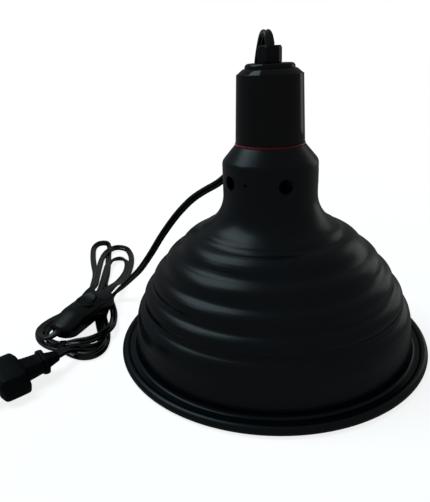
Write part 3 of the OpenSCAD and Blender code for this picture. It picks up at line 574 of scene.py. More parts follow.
# %% Loops from the switch to the plug
plug_route = [
    (-154.5, -14, 10.9, None), (-155.2, -17.6, 10.7, 0), (-156.6, -21.2, 10, 0), (-159.8, -23.4, 8.9, 0),
    (-164.4, -22.8, 7.9, 5), (-168.8, -19.4, 7.4, 15), (-172, -14, 7.3, 20), (-173.2, -7, 7.2, 15),
    (-172, 1, 7, 5), (-168.6, 11, 6.4, 0), (-164, 21, 5.2, 0), (-159.8, 31, 4.8, 0), (-155.8, 42, 4.2, 0),
    (-152.4, 52, 2.6, 0), (-151.3, 61, 2, 0), (-151.8, 70, 2.8, 0), (-154, 86, 4.4, 0),
    (-157.5, 105, 4.6, 0), (-160.5, 124, 4.5, 0), (-159.5, 138, 3.6, -40), (-153, 143, 3, -60),
    (-145.5, 136, 2.4, -30), (-140.5, 118, 1.7, 0), (-139.8, 100, 1.6, 0), (-141, 84, 2.4, 0),
    (-143, 71, 4.4, 0), (-145, 60, 4.4, 0), (-144.5, 48, 2, 0), (-142, 36, 1.5, 0), (-138.5, 22, 1.5, 0),
    (-133, 8, 1.5, 0), (-127.5, -4, 1.6, 0), (-123.8, -12, 1.7, -5), (-122.6, -18.6, 2.6, -50),
    (-123.8, -23.8, 2.9, -75), (-127.4, -26.8, 3.3, -65), (-131.8, -28.9, 4, -65),
    (-136, -31.8, 5.7, -50), (-139, -36.3, 8.4, -15), (-140.7, -41.6, 10, -10), (-142, -45.6, 10.4, -15),
    (-143.4, -48.3, 10.5, -20), (-144.8, -49.9, 10.5, -20)]
plug_cord, plug_line, plug_length = flat_cord("plug_cord", plug_route, (-0.96, 0.27, 0.17), cord_black)
print("plug cord:", round(plug_length, 3), "m,", len(plug_cord.data.vertices), "vertices")

# %% Put the cords on the lamp
for cord in (lamp_cord, plug_cord):
    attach(cord, "fixture")
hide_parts("cord_lead", "cord_hank", "cord_switch_far")
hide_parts("cord_tail", "cord_switch_near")

# %% [markdown]
# ## Turned pieces
# The shade, seal, case and cap were all spun or moulded round one axis, so each is an outline turned
# about Z. Blender's Screw modifier would do it; a small Geometry Nodes tree does the same and keeps its
# sizes as named inputs. A grid has one column for each step of the turn and one row for each point of the
# outline, and every grid vertex looks up its outline point and swings it to its column's angle. Merging
# by distance then closes the seam. An outline point may also carry a thread depth, which makes its radius
# rise and fall along a helix, as in a rolled screw shell.

# %% Helpers that build a tree
def new_tree(name, sockets):
    tree = bpy.data.node_groups.new(name, "GeometryNodeTree")
    tree.interface.new_socket("Geometry", in_out="INPUT", socket_type="NodeSocketGeometry")
    for label, kind, value in sockets:
        item = tree.interface.new_socket(label, in_out="INPUT", socket_type=kind)
        if value is not None:
            item.default_value = value
    tree.interface.new_socket("Geometry", in_out="OUTPUT", socket_type="NodeSocketGeometry")
    return tree, tree.nodes.new("NodeGroupInput"), tree.nodes.new("NodeGroupOutput")


def node(tree, kind, **settings):
    made = tree.nodes.new(kind)
    for key, value in settings.items():
        setattr(made, key, value)
    return made


def math_node(tree, operation, a, b=None):
    made = node(tree, "ShaderNodeMath", operation=operation)
    for slot_no, value in ((0, a), (1, b)):
        if value is None:
            continue
        if isinstance(value, (int, float)):
            made.inputs[slot_no].default_value = value
        else:
            tree.links.new(value, made.inputs[slot_no])
    return made.outputs[0]


def count_node(tree, operation, a, b):
    made = node(tree, "FunctionNodeIntegerMath", operation=operation)
    for slot_no, value in ((0, a), (1, b)):
        if isinstance(value, int):
            made.inputs[slot_no].default_value = value
        else:
            tree.links.new(value, made.inputs[slot_no])
    return made.outputs[0]


def close_tree(tree, shape, group_in, group_out):
    realize = node(tree, "GeometryNodeRealizeInstances")
    paint = node(tree, "GeometryNodeSetMaterial")
    tree.links.new(shape, realize.inputs["Geometry"])
    tree.links.new(realize.outputs["Geometry"], paint.inputs["Geometry"])
    tree.links.new(group_in.outputs["Material"], paint.inputs["Material"])
    tree.links.new(paint.outputs["Geometry"], group_out.inputs["Geometry"])


print("tree helpers:", [f.__name__ for f in (new_tree, node, math_node, count_node, close_tree)])

# %% Geometry Nodes tree that turns an outline
lathe, lathe_in, lathe_out = new_tree("turned_piece", (
    ("Segments", "NodeSocketInt", 96), ("Thread Pitch", "NodeSocketFloat", 0.0036),
    ("Material", "NodeSocketMaterial", None)))
size_of = node(lathe, "GeometryNodeAttributeDomainSize", component="MESH")
lathe.links.new(lathe_in.outputs["Geometry"], size_of.inputs["Geometry"])
columns = count_node(lathe, "ADD", lathe_in.outputs["Segments"], 1)
grid = node(lathe, "GeometryNodeMeshGrid")
lathe.links.new(columns, grid.inputs["Vertices X"])
lathe.links.new(size_of.outputs["Point Count"], grid.inputs["Vertices Y"])
index = node(lathe, "GeometryNodeInputIndex")
column = count_node(lathe, "DIVIDE_FLOOR", index.outputs[0], size_of.outputs["Point Count"])
row = count_node(lathe, "MODULO", index.outputs[0], size_of.outputs["Point Count"])
outline_at = node(lathe, "GeometryNodeSampleIndex", data_type="FLOAT_VECTOR", domain="POINT")
outline_pos = node(lathe, "GeometryNodeInputPosition")
lathe.links.new(lathe_in.outputs["Geometry"], outline_at.inputs["Geometry"])
lathe.links.new(outline_pos.outputs[0], outline_at.inputs["Value"])
lathe.links.new(row, outline_at.inputs["Index"])
split = node(lathe, "ShaderNodeSeparateXYZ")
lathe.links.new(outline_at.outputs["Value"], split.inputs[0])
step = math_node(lathe, "DIVIDE", 2 * math.pi, lathe_in.outputs["Segments"])
angle = math_node(lathe, "MULTIPLY", column, step)
turns = math_node(lathe, "DIVIDE", split.outputs[2], lathe_in.outputs["Thread Pitch"])
phase = math_node(lathe, "SUBTRACT", math_node(lathe, "MULTIPLY", turns, 2 * math.pi), angle)
thread = math_node(lathe, "MULTIPLY", split.outputs[1], math_node(lathe, "SINE", phase))
radius = math_node(lathe, "ADD", split.outputs[0], thread)
swung = node(lathe, "ShaderNodeCombineXYZ")
lathe.links.new(math_node(lathe, "MULTIPLY", radius, math_node(lathe, "COSINE", angle)), swung.inputs[0])
lathe.links.new(math_node(lathe, "MULTIPLY", radius, math_node(lathe, "SINE", angle)), swung.inputs[1])
lathe.links.new(split.outputs[2], swung.inputs[2])
place = node(lathe, "GeometryNodeSetPosition")
lathe.links.new(grid.outputs["Mesh"], place.inputs["Geometry"])
lathe.links.new(swung.outputs[0], place.inputs["Position"])
weld = node(lathe, "GeometryNodeMergeByDistance")
weld.inputs["Distance"].default_value = 1e-6
lathe.links.new(place.outputs["Geometry"], weld.inputs["Geometry"])
close_tree(lathe, weld.outputs["Geometry"], lathe_in, lathe_out)
print("turning tree:", len(lathe.nodes), "nodes")

# %% Run a tree and keep its mesh
smooth_below = 35


def run_tree(name, tree, mesh, values, closed=True):
    rough_obj = bpy.data.objects.new(name + "_start", mesh)
    scene.collection.objects.link(rough_obj)
    modifier = rough_obj.modifiers.new("tree", "NODES")
    modifier.node_group = tree
    keys = {item.name: item.identifier for item in tree.interface.items_tree if item.in_out == "INPUT"}
    for label, value in values.items():
        modifier[keys[label]] = value
    deps = bpy.context.evaluated_depsgraph_get()
    made = bpy.data.meshes.new_from_object(rough_obj.evaluated_get(deps))
    bpy.data.objects.remove(rough_obj)
    made.name = name
    if closed:
        bm = bmesh.new()
        bm.from_mesh(made)
        bmesh.ops.recalc_face_normals(bm, faces=bm.faces)
        bm.to_mesh(made)
        bm.free()
    made.polygons.foreach_set("use_smooth", [True] * len(made.polygons))
    made.set_sharp_from_angle(angle=math.radians(smooth_below))
    obj = bpy.data.objects.new(name, made)
    scene.collection.objects.link(obj)
    return obj


def turned(name, outline, material, segments):
    mesh = bpy.data.meshes.new(name + "_outline")
    loop = [(*p, 0.0)[:3] for p in outline]
    loop.append(loop[0])
    edges = [(i, i + 1) for i in range(len(loop) - 1)]
    mesh.from_pydata([(r * mm, t * mm, z * mm) for r, z, t in loop], edges, [])
    return run_tree(name, lathe, mesh, {"Segments": segments, "Material": material})


def arc(cx, cz, r, start, stop, steps):
    angles = [math.radians(start + (stop - start) * i / steps) for i in range(steps + 1)]
    return [(cx + r * math.cos(a), cz + r * math.sin(a)) for a in angles]


print("a quarter turn:", [(round(x, 2), round(z, 2)) for x, z in arc(0, 0, 1, 0, 90, 2)])

# %% [markdown]
# ## The shade
# A disc of thin sheet was spun over a former. The former left five soft ledges, then a fillet, a straight
# neck and a cone, and the edge was rolled outwards into a rim. The outline follows those steps: an arc of
# a circle with a small rise and fall added at each ledge, joined to plain arcs and lines. The inner face
# is the same outline, one sheet thickness in. The outer one also has waves of a hundredth of a
# millimetre, the marks of the spinning tool.

# %% Sizes and ledges of the shade
dome_r, dome_z, sheet = 97.7, -0.5, 1.0
neck_r, neck_fillet, shoulder = 31.1, 24.0, 1.3
lip_z, lip_fillet = 4.6, 2.0
bead_r, bead_at, bead_z = 3.0, 105.0, 2.85
neck_top, neck_corner, cone_slope = 129.0, 5.0, 40.0
shade_top, hole_r = 140.9, 17.4
fillet_at = neck_r + neck_fillet
reach = dome_r + shoulder + neck_fillet
fillet_z = dome_z + math.sqrt(reach ** 2 - fillet_at ** 2)
top_angle = math.degrees(math.acos(fillet_at / reach))
low_angle = math.degrees(math.asin((lip_z + lip_fillet - dome_z) / dome_r))
ledges = ((58.3, 0.6, 0.9), (47.5, 0.75, 0.2), (38.0, 1.0, -0.1), (29.4, 1.3, -0.1), (21.4, 1.4, 0.1))
ledge_depth, ledge_rise, lean = 0.9, 4.6, 0.35
knots = [(top_angle + 0.01, shoulder)]
for at, share, swell in ledges:
    knots.append((at + ledge_rise * lean, swell - share * ledge_depth))
    knots.append((at - ledge_rise * (1 - lean), swell + share * ledge_depth))
knots += [(10.0, 0.2), (-1.0, 0.0)]


def ledge_offset(a):
    for (a0, h0), (a1, h1) in zip(knots, knots[1:]):
        if a0 >= a > a1:
            t = (a0 - a) / (a0 - a1)
            turn_at = lean if h1 > h0 else 1 - lean
            return h0 + (h1 - h0) * (t * t / turn_at if t < turn_at else 1 - (1 - t) ** 2 / (1 - turn_at))
    return 0.0


print("ledges:", len(ledges), "from", round(low_angle, 1), "to", round(top_angle, 1), "degrees")

# %% Turn the shade
mark_depth, fine_mark, broad_mark = 0.012, 1.31, 2.07


def tool_mark(a):
    wave = math.sin(2 * math.pi * a / fine_mark) + 0.6 * math.sin(2 * math.pi * a / broad_mark + 0.8)
    return mark_depth * wave * min(1.0, (top_angle - a) / 3, (a - low_angle) / 6)


def shade_line(depth, steps):
    line = arc(dome_r + lip_fillet, lip_z + lip_fillet, lip_fillet + depth, 270, 180, 8)
    for i in range(1, steps + 1):
        a = low_angle + (top_angle - low_angle) * i / steps
        r = dome_r + ledge_offset(a) - depth + (0.0 if depth else tool_mark(a))
        line.append((r * math.cos(math.radians(a)), dome_z + r * math.sin(math.radians(a))))
    line += arc(fillet_at, fillet_z, neck_fillet + depth, 180 + top_angle, 180, 14)[1:]
    line += [(neck_r - depth, z) for z in (112.5, 115, 117.5, 120, 122.5, 125, 127)]
    corner = arc(neck_r - neck_corner, neck_top, neck_corner - depth, 0, cone_slope, 8)
    top = shade_top - depth
    run = (top - corner[-1][1]) * math.tan(math.radians(cone_slope))
    return line + corner + [(corner[-1][0] - run, top), (hole_r, top)]


rim_start = 180 - math.degrees(math.asin((lip_z - bead_z) / bead_r))
rim_stop = -180 - math.degrees(math.asin((lip_z - sheet - bead_z) / bead_r))
bead = [(r, max(z, 0.0)) for r, z in arc(bead_at, bead_z, bead_r, rim_start, rim_stop, 36)]
shade_outline = shade_line(0, 260)[::-1] + bead + shade_line(sheet, 60)
shade = turned("spun_shade", shade_outline, matt_paint, 216)
print("shade:", len(shade_outline), "outline points,", len(shade.data.polygons), "faces")

# %% [markdown]
# ## Vents in the neck
# Five round holes let the hot air out, and one small pilot hole sits between two of them. The holes
# repeat at even steps round the neck, so a tree stands one cutter at each step and subtracts them all at
# once. A punched edge is never quite sharp: a thin rounded lip follows each hole on the curve of the
# neck.

# %% Places of the vents
vent_count, vent_r, vent_z, vent_turn = 5, 4.7, 120.0, 18.0
pilot_r, pilot_z, pilot_turn = 1.1, 120.5, -29.0
hole_sockets = (
    ("Count", "NodeSocketInt", vent_count), ("Hole Radius", "NodeSocketFloat", vent_r * mm),
    ("Height", "NodeSocketFloat", vent_z * mm), ("First Angle", "NodeSocketFloat", 0.0),
    ("Neck Radius", "NodeSocketFloat", neck_r * mm), ("Material", "NodeSocketMaterial", None))


def hole_angle(tree, group_in):
    number = node(tree, "GeometryNodeInputIndex")
    share = math_node(tree, "DIVIDE", 2 * math.pi, group_in.outputs["Count"])
    along = math_node(tree, "MULTIPLY", number.outputs[0], share)
    return math_node(tree, "ADD", along, group_in.outputs["First Angle"])


def ring_of_places(tree, group_in):
    line = node(tree, "GeometryNodeMeshLine")
    tree.links.new(group_in.outputs["Count"], line.inputs["Count"])
    way = hole_angle(tree, group_in)
    outward = node(tree, "ShaderNodeCombineXYZ")
    tree.links.new(math_node(tree, "SINE", way), outward.inputs[0])
    tree.links.new(math_node(tree, "MULTIPLY", math_node(tree, "COSINE", way), -1.0), outward.inputs[1])
    at = node(tree, "ShaderNodeVectorMath", operation="SCALE")
    tree.links.new(outward.outputs[0], at.inputs[0])
    tree.links.new(group_in.outputs["Neck Radius"], at.inputs["Scale"])
    lift = node(tree, "ShaderNodeCombineXYZ")
    tree.links.new(group_in.outputs["Height"], lift.inputs[2])
    spot = node(tree, "ShaderNodeVectorMath", operation="ADD")
    tree.links.new(at.outputs[0], spot.inputs[0])
    tree.links.new(lift.outputs[0], spot.inputs[1])
    stand = node(tree, "GeometryNodeSetPosition")
    tree.links.new(line.outputs["Mesh"], stand.inputs["Geometry"])
    tree.links.new(spot.outputs[0], stand.inputs["Position"])
    return stand.outputs["Geometry"], outward.outputs[0]


print("vents:", vent_count, "holes,", 2 * vent_r, "mm wide,", vent_z, "mm up")

# %% Punch the vents
cutter_sides, cutter_depth = 48, 12.0
vents, vents_in, vents_out = new_tree("neck_vents", hole_sockets)
spots, outward = ring_of_places(vents, vents_in)
cutter = node(vents, "GeometryNodeMeshCylinder")
cutter.inputs["Vertices"].default_value = cutter_sides
cutter.inputs["Depth"].default_value = cutter_depth * mm
vents.links.new(vents_in.outputs["Hole Radius"], cutter.inputs["Radius"])
aim = node(vents, "FunctionNodeAlignRotationToVector", axis="Z")
vents.links.new(outward, aim.inputs["Vector"])
punches = node(vents, "GeometryNodeInstanceOnPoints")
vents.links.new(spots, punches.inputs["Points"])
vents.links.new(cutter.outputs["Mesh"], punches.inputs["Instance"])
vents.links.new(aim.outputs["Rotation"], punches.inputs["Rotation"])
cut_out = node(vents, "GeometryNodeMeshBoolean", operation="DIFFERENCE", solver="MANIFOLD")
vents.links.new(vents_in.outputs["Geometry"], cut_out.inputs["Mesh 1"])
vents.links.new(punches.outputs["Instances"], cut_out.inputs["Mesh 2"])
close_tree(vents, cut_out.outputs["Mesh"], vents_in, vents_out)
vent_ring = (vent_count, vent_r, vent_z, vent_turn)
pilot_hole = (1, pilot_r, pilot_z, pilot_turn)
for count, hole_size, height, first in (vent_ring, pilot_hole):
    uncut = shade
    shade = run_tree("punched_shade", vents, uncut.data, {
        "Count": count, "Hole Radius": hole_size * mm, "Height": height * mm,
        "First Angle": math.radians(first), "Neck Radius": neck_r * mm, "Material": matt_paint},
        closed=False)
    bpy.data.objects.remove(uncut)
shade.name = "dome_shade_shell"
print("shade with vents:", len(shade.data.polygons), "faces")

# %% Rounded lips of the vents
lip_r, lip_wire, lip_sunk = 4.85, 0.35, 0.22
lip_socket = ("Lip", "NodeSocketFloat", lip_wire * mm)
lips, lips_in, lips_out = new_tree("vent_lips", hole_sockets + (lip_socket,))
ring = node(lips, "GeometryNodeCurvePrimitiveCircle", mode="RADIUS")
ring.inputs["Resolution"].default_value = 40
lips.links.new(lips_in.outputs["Hole Radius"], ring.inputs["Radius"])
ring_pos = node(lips, "GeometryNodeInputPosition")
ring_xyz = node(lips, "ShaderNodeSeparateXYZ")
lips.links.new(ring_pos.outputs[0], ring_xyz.inputs[0])
swing = math_node(lips, "DIVIDE", ring_xyz.outputs[0], lips_in.outputs["Neck Radius"])
on_neck = math_node(lips, "SUBTRACT", lips_in.outputs["Neck Radius"], lip_sunk * mm)
wrapped = node(lips, "ShaderNodeCombineXYZ")
lips.links.new(math_node(lips, "MULTIPLY", math_node(lips, "SINE", swing), on_neck), wrapped.inputs[0])
lips.links.new(math_node(lips, "MULTIPLY", math_node(lips, "COSINE", swing),
                         math_node(lips, "MULTIPLY", on_neck, -1.0)), wrapped.inputs[1])
lips.links.new(ring_xyz.outputs[1], wrapped.inputs[2])
bent = node(lips, "GeometryNodeSetPosition")
lips.links.new(ring.outputs["Curve"], bent.inputs["Geometry"])
lips.links.new(wrapped.outputs[0], bent.inputs["Position"])
wire = node(lips, "GeometryNodeCurvePrimitiveCircle", mode="RADIUS")
wire.inputs["Resolution"].default_value = 12
lips.links.new(lips_in.outputs["Lip"], wire.inputs["Radius"])
swept = node(lips, "GeometryNodeCurveToMesh")
lips.links.new(bent.outputs["Geometry"], swept.inputs["Curve"])
lips.links.new(wire.outputs["Curve"], swept.inputs["Profile Curve"])
line = node(lips, "GeometryNodeMeshLine")
line.inputs["Offset"].default_value = (0, 0, 0)
lips.links.new(lips_in.outputs["Count"], line.inputs["Count"])
raise_to = node(lips, "ShaderNodeCombineXYZ")
lips.links.new(lips_in.outputs["Height"], raise_to.inputs[2])
lifted = node(lips, "GeometryNodeSetPosition")
lips.links.new(line.outputs["Mesh"], lifted.inputs["Geometry"])
lips.links.new(raise_to.outputs[0], lifted.inputs["Position"])
facing = node(lips, "ShaderNodeCombineXYZ")
lips.links.new(hole_angle(lips, lips_in), facing.inputs[2])
copies = node(lips, "GeometryNodeInstanceOnPoints")
lips.links.new(lifted.outputs["Geometry"], copies.inputs["Points"])
lips.links.new(swept.outputs["Mesh"], copies.inputs["Instance"])
lips.links.new(facing.outputs[0], copies.inputs["Rotation"])
close_tree(lips, copies.outputs["Instances"], lips_in, lips_out)
vent_lips = run_tree("vent_lips", lips, bpy.data.meshes.new("vent_lips_start"), {
    "Count": vent_count, "Hole Radius": lip_r * mm, "Height": vent_z * mm,
    "First Angle": math.radians(vent_turn), "Neck Radius": neck_r * mm, "Lip": lip_wire * mm,
    "Material": matt_paint})
print("vent lips:", len(vent_lips.data.polygons), "faces")

# %% [markdown]
# ## Bare metal in the bowl
# The shade is painted outside. Inside, the bowl is left as bright spun metal, which throws the heat down,
# and the neck is dark. One mesh can hold both: the faces of the bowl that look inwards get a second
# material.

# %% Leave the bowl bare and put the shade on the lamp
bare_top, bare_reach = 88.0, 98.2
bare_slot = len(shade.data.materials)
shade.data.materials.append(bare_metal)
inside = 0
for face in shade.data.polygons:
    x, y, z = face.center / mm
    outward_way = Vector((x, y, z - dome_z))
    if z < bare_top and math.hypot(x, y) < bare_reach and face.normal.dot(outward_way) < 0:
        face.material_index = bare_slot
        inside += 1
for piece in (shade, vent_lips):
    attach(piece, "fixture")
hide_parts("dome_shade")
print("bare inside:", inside, "of", len(shade.data.polygons), "faces, slot", bare_slot)

# %% [markdown]
# ## Case, cap and seal
# The case is a slightly tapered glossy tube, closed by a cap with a sloping shoulder and a raised disc. A
# thin red ring seals the case to the shade. On glossy black only the edges show, so the outer edges get a
# small radius to catch the light, and the cap is a hair narrower than the case, which leaves the fine
# bright seam of the real one.

# %% Turn the case, the cap and the seal
case_z, case_top = 142.3, 183.6
case_edge = 0.5
case_outline = ([(hole_r, case_z)] + arc(21.6, case_z + case_edge, case_edge, -90, -2, 6)
                + arc(20.2, case_top - case_edge, case_edge, 2, 90, 6)
                + [(18.7, case_top), (20.1, case_z + 2.5), (hole_r, case_z + 2.5)])
case = turned("socket_case_shell", case_outline, case_gloss, 160)
cap_top = 189.6
cap_outline = ([(20.15, case_top), (18.9, 184.65), (17.6, 185.72), (16.9, 186.24), (16.5, 186.46)]
               + [(16.1, 186.6), (15.7, 186.66), (15.45, 186.8)] + arc(13.1, 187.2, 2.4, 0, 90, 10)
               + [(5.05, cap_top), (5.05, 187.4), (12, 187.4), (12, case_top)]
               + [(16.7, case_top), (16.7, 179.6), (18.6, 179.6), (18.6, case_top)])
cap = turned("case_cap_shell", cap_outline, case_gloss, 160)
seal_edge = 0.4
seal_outline = ([(hole_r, shade_top)] + arc(22.1, shade_top + seal_edge, seal_edge, -90, 0, 4)
                + arc(22.1, case_z - seal_edge, seal_edge, 0, 90, 4) + [(hole_r, case_z)])
seal = turned("seal_ring_band", seal_outline, seal_red, 160)
for piece, solid, slot_name in ((case, "socket_case", "case_gloss"), (cap, "case_cap", "case_gloss"),
                                (seal, "seal_ring", "red_silicone")):
    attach(piece, "fixture")
    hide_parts(solid)
print("case, cap, seal:", [len(o.data.polygons) for o in (case, cap, seal)], "faces")

# %% [markdown]
# ## The screw shell
# The brass shell that takes the lamp is rolled from thin sheet, so its thread shows as the same round
# wave inside and out. Its outline carries a thread depth that fades out at the mouth and under the
# collar.

# %% Roll the thread
shell_r, shell_low, shell_top, sheet_brass = 13.3, 113.5, 139.0, 0.45
thread_top, thread_half, row_gap = shell_top - 1.5, 0.5, 0.3
rows = [shell_low + row_gap * i for i in range(int((thread_top - shell_low) / row_gap) + 1)]


def thread_depth(z):
    fade_in, fade_out = (z - shell_low - 0.9) / 1.2, (thread_top - z) / 1.6
    return thread_half * min(1.0, max(0.0, fade_in), max(0.0, fade_out))


inner_wall = [(shell_r - thread_depth(z), z, thread_depth(z)) for z in rows]
outer_wall = [(shell_r + sheet_brass - thread_depth(z), z, thread_depth(z)) for z in rows]
shell_outline = (inner_wall + [(shell_r, shell_top - 1), (12.9, shell_top - 0.6), (9, shell_top - 0.5)]
                 + [(9, shell_top), (shell_r, shell_top), (13.6, shell_top - 0.4)] + outer_wall[::-1])
shell = turned("threaded_shell", shell_outline, brass, 96)
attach(shell, "fixture")
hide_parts("screw_shell")
print("shell:", len(shell_outline), "outline points,", len(shell.data.polygons), "faces")

# %% [markdown]
# ## Stacked rings
# The cord grip, the switch and the plug aren't round, but each can be read as a stack of rings: closed
# outlines with the same number of points, joined one to the next. It is the loft of a CAD program, in a
# few lines of mesh code, and every edge radius is just a few more rings.

# %% Loft rings into a piece
def stacked(name, rings, material, body, solids, around=False, sharp=30):
    count = len(rings[0])
    verts = [tuple(c * mm for c in p) for ring_points in rings for p in ring_points]
    faces = []
    for i in range(len(rings) if around else len(rings) - 1):
        low_ring, high_ring = i * count, (i + 1) % len(rings) * count
        for k in range(count):
            j = (k + 1) % count
            faces.append((low_ring + k, low_ring + j, high_ring + j, high_ring + k))
    if not around:
        faces.append(tuple(range(count - 1, -1, -1)))
        faces.append(tuple(range((len(rings) - 1) * count, len(rings) * count)))
    mesh = bpy.data.meshes.new(name)
    mesh.from_pydata(verts, [], faces)
    bm = bmesh.new()
    bm.from_mesh(mesh)
    bmesh.ops.remove_doubles(bm, verts=bm.verts, dist=1e-7)
    bmesh.ops.recalc_face_normals(bm, faces=bm.faces)
    bm.to_mesh(mesh)
    bm.free()
    mesh.polygons.foreach_set("use_smooth", [True] * len(mesh.polygons))
    mesh.set_sharp_from_angle(angle=math.radians(sharp))
    mesh.materials.append(material)
    obj = bpy.data.objects.new(name, mesh)
    scene.collection.objects.link(obj)
    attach(obj, body)
    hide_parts(*solids)
    print(name + ":", len(mesh.polygons), "faces")


print("stacked rings: for the grip, the switch cover, the plug and the tie")

# %% [markdown]
# ## The cord grip
# A hexagon nut of black moulding closes on the cord at the top of the cap. A six-sided cylinder with a
# bevel would be close, but a real nut's chamfer is turned, so it cuts the corners in arcs. Each ring is
# therefore the smaller of a hexagon and a circle, and the circle shrinks towards the top.

# %% Hexagon of the cord grip
hex_top, hex_half, hex_turn = 199.5, 6.7, 15.0
grip_bore, chamfer_z, chamfer_rings = 3.4, 197.2, 9
hex_corner = hex_half / math.cos(math.radians(30)) - 0.25


def hex_ring(z, limit):
    points = []
    for k in range(180):
        a = 2.0 * k
        flat = (a - hex_turn) % 60 - 30
        r = min(hex_half / math.cos(math.radians(flat)), hex_corner, limit)
        points.append((r * math.cos(math.radians(a)), r * math.sin(math.radians(a)), z))
    return points


hex_rings = [hex_ring(cap_top, grip_bore), hex_ring(cap_top, 7.1), hex_ring(cap_top + 0.6, 8)]
hex_rings += [hex_ring(z, 8) for z in (192, 194)]
hex_rings += [hex_ring(chamfer_z + 0.25 * i, 8.0 - 0.16 * i) for i in range(chamfer_rings)]
hex_mouth = ((0.08, 6.55), (0, 6.3), (0, 3.7), (0.3, grip_bore))
hex_rings += [hex_ring(hex_top - down, limit) for down, limit in hex_mouth]
stacked("cord_grip", hex_rings, switch_black, "fixture", ("gland_nut",),
        around=True, sharp=20)

# %% [markdown]
# ## The switch cover
# The cover is one moulding: a long slot shape with a flat middle, two ends that slope away and a raised
# collar round the rocker. It could be cut from a block with booleans, but a moulding has no sharp edges,
# and rounding boolean edges is tedious. Here the rings run from the seam up the side, over the rounded
# edge, across the top to the collar, into the rocker's opening and back along the inside, so one closed
# surface carries every radius.

# %% Shape of the switch from above
switch_place = (Matrix.Translation((-147, 15, 5)) @ Matrix.Rotation(math.radians(74), 4, "Z")
                @ Matrix.Rotation(math.radians(10), 4, "X"))
switch_l, switch_w, split_z, switch_h = 66.0, 21.5, 6.0, 14.0
rocker_x, rocker_z, barrel_off, barrel_r = 4.0, 9.6, 3.4, 6.35
collar_l, collar_w, collar_z = 21.6, 15.0, 14.9


def slot_shape(length, width, middle=0.0):
    return lambda x, y: math.hypot(max(abs(x - middle) - (length - width) / 2, 0), y) < width / 2


def barrel_shape(z, grow=0.0):
    def inside_barrel(x, y):
        out = math.hypot(x - rocker_x, z - rocker_z) - barrel_off
        return out ** 2 + y * y < (barrel_r + grow) ** 2
    return inside_barrel


def ways_round(count=144):
    half, r = (switch_l - switch_w) / 2, switch_w / 2
    girth = 4 * half + 2 * math.pi * r
    ways = []
    for k in range(count):
        d = girth * k / count
        if d < math.pi * r:
            x, y = half + r * math.sin(d / r), -r * math.cos(d / r)
        elif d < math.pi * r + 2 * half:
            x, y = half - (d - math.pi * r), r
        elif d < 2 * math.pi * r + 2 * half:
            turn_back = (d - 2 * half) / r
            x, y = -half + r * math.sin(turn_back), -r * math.cos(turn_back)
        else:
            x, y = -half + d - 2 * math.pi * r - 2 * half, -r
        ways.append(math.atan2(y, x - rocker_x))
    return ways


switch_ways = ways_round()
print("switch:", len(switch_ways), "points round each ring")

# %% Rings on the switch
halvings = 34
flat_half, end_slope, crown_r = 13.5, 0.14, 22.0


def edge_of(shape):
    found = []
    for way in switch_ways:
        near, far = 0.5, 60.0
        for _ in range(halvings):
            mid = (near + far) / 2
            if shape(rocker_x + mid * math.cos(way), mid * math.sin(way)):
                near = mid
            else:
                far = mid
        found.append((rocker_x + near * math.cos(way), near * math.sin(way)))
    return found


def crown(x, y):
    past = abs(x) - flat_half
    slope = end_slope * (past + math.sqrt(past * past + 0.5))
    return switch_h - slope - crown_r + math.sqrt(crown_r ** 2 - y * y)


def flat_ring(edge, z):
    return [(x, y, z) for x, y in edge]


def top_ring(edge, drop=0.0, floor_z=0.0):
    return [(x, y, max(crown(x, y) - drop, floor_z)) for x, y in edge]


def between(edge_a, edge_b, share):
    return [(a[0] + (b[0] - a[0]) * share, a[1] + (b[1] - a[1]) * share) for a, b in zip(edge_a, edge_b)]


def inset_slot(inset):
    return edge_of(slot_shape(switch_l - 2 * inset, switch_w - 2 * inset))


crown_drop = crown(0, 0) - crown(switch_l / 2, 0)
print("switch top:", round(crown_drop, 2), "mm lower at its ends than in the middle")

# %% Mould the switch cover
edge_r, edge_steps = 1.9, 7
cover_rings = [flat_ring(inset_slot(0.35), split_z), flat_ring(inset_slot(0.0), split_z + 0.35)]
for step_no in range(edge_steps + 1):
    tilt = math.radians(90 * step_no / edge_steps)
    edge = inset_slot(edge_r * (1 - math.cos(tilt)))
    cover_rings.append(top_ring(edge, edge_r * (1 - math.sin(tilt)), split_z + 0.4))
brow = inset_slot(edge_r)
collar_foot = edge_of(slot_shape(collar_l + 1.4, collar_w + 1.4, rocker_x))
top_shares = (0.08, 0.2, 0.35, 0.5, 0.65, 0.8, 0.92, 1.0)
cover_rings += [top_ring(between(brow, collar_foot, share)) for share in top_shares]
collar_edge = edge_of(slot_shape(collar_l, collar_w, rocker_x))
cover_rings.append(top_ring(between(collar_foot, collar_edge, 0.55), -0.12))
cover_rings.append(top_ring(collar_edge, -0.5))
collar_edge_r, collar_steps = 0.7, 4
for step_no in range(collar_steps + 1):
    tilt = math.radians(90 * step_no / collar_steps)
    inset = collar_edge_r * (1 - math.cos(tilt))
    edge = edge_of(slot_shape(collar_l - 2 * inset, collar_w - 2 * inset, rocker_x))
    cover_rings.append(flat_ring(edge, collar_z - collar_edge_r * (1 - math.sin(tilt))))
opening = ((collar_z, 0.4), (14.75, 0.1), (14.5, 0.0), (13.4, 0.0), (12.3, 0.0))
cover_rings += [flat_ring(edge_of(barrel_shape(z, grow)), z) for z, grow in opening]
mouth, inner = edge_of(barrel_shape(12.3)), inset_slot(2.0)
under_shares = (0.1, 0.4, 0.7, 1.0)
cover_rings += [top_ring(between(mouth, inner, share), 2.1, split_z + 0.2) for share in under_shares]
cover_rings.append(flat_ring(inner, split_z))
cover_rings = [[tuple(switch_place @ Vector(p)) for p in ring_points] for ring_points in cover_rings]
stacked("switch_cover_shell", cover_rings, switch_black, "fixture", ("switch_cover",),
        around=True)

# %% [markdown]
# ## The plug
# The plug is moulded on the cord: a broad body to hold, a narrow neck, a flange for the fingers and a
# short tapered end where the cord comes out. Its section is an eight-sided shape with rounded corners,
# the same all the way along, only wider or narrower, so a list of places, widths and heights is enough to
# describe it.

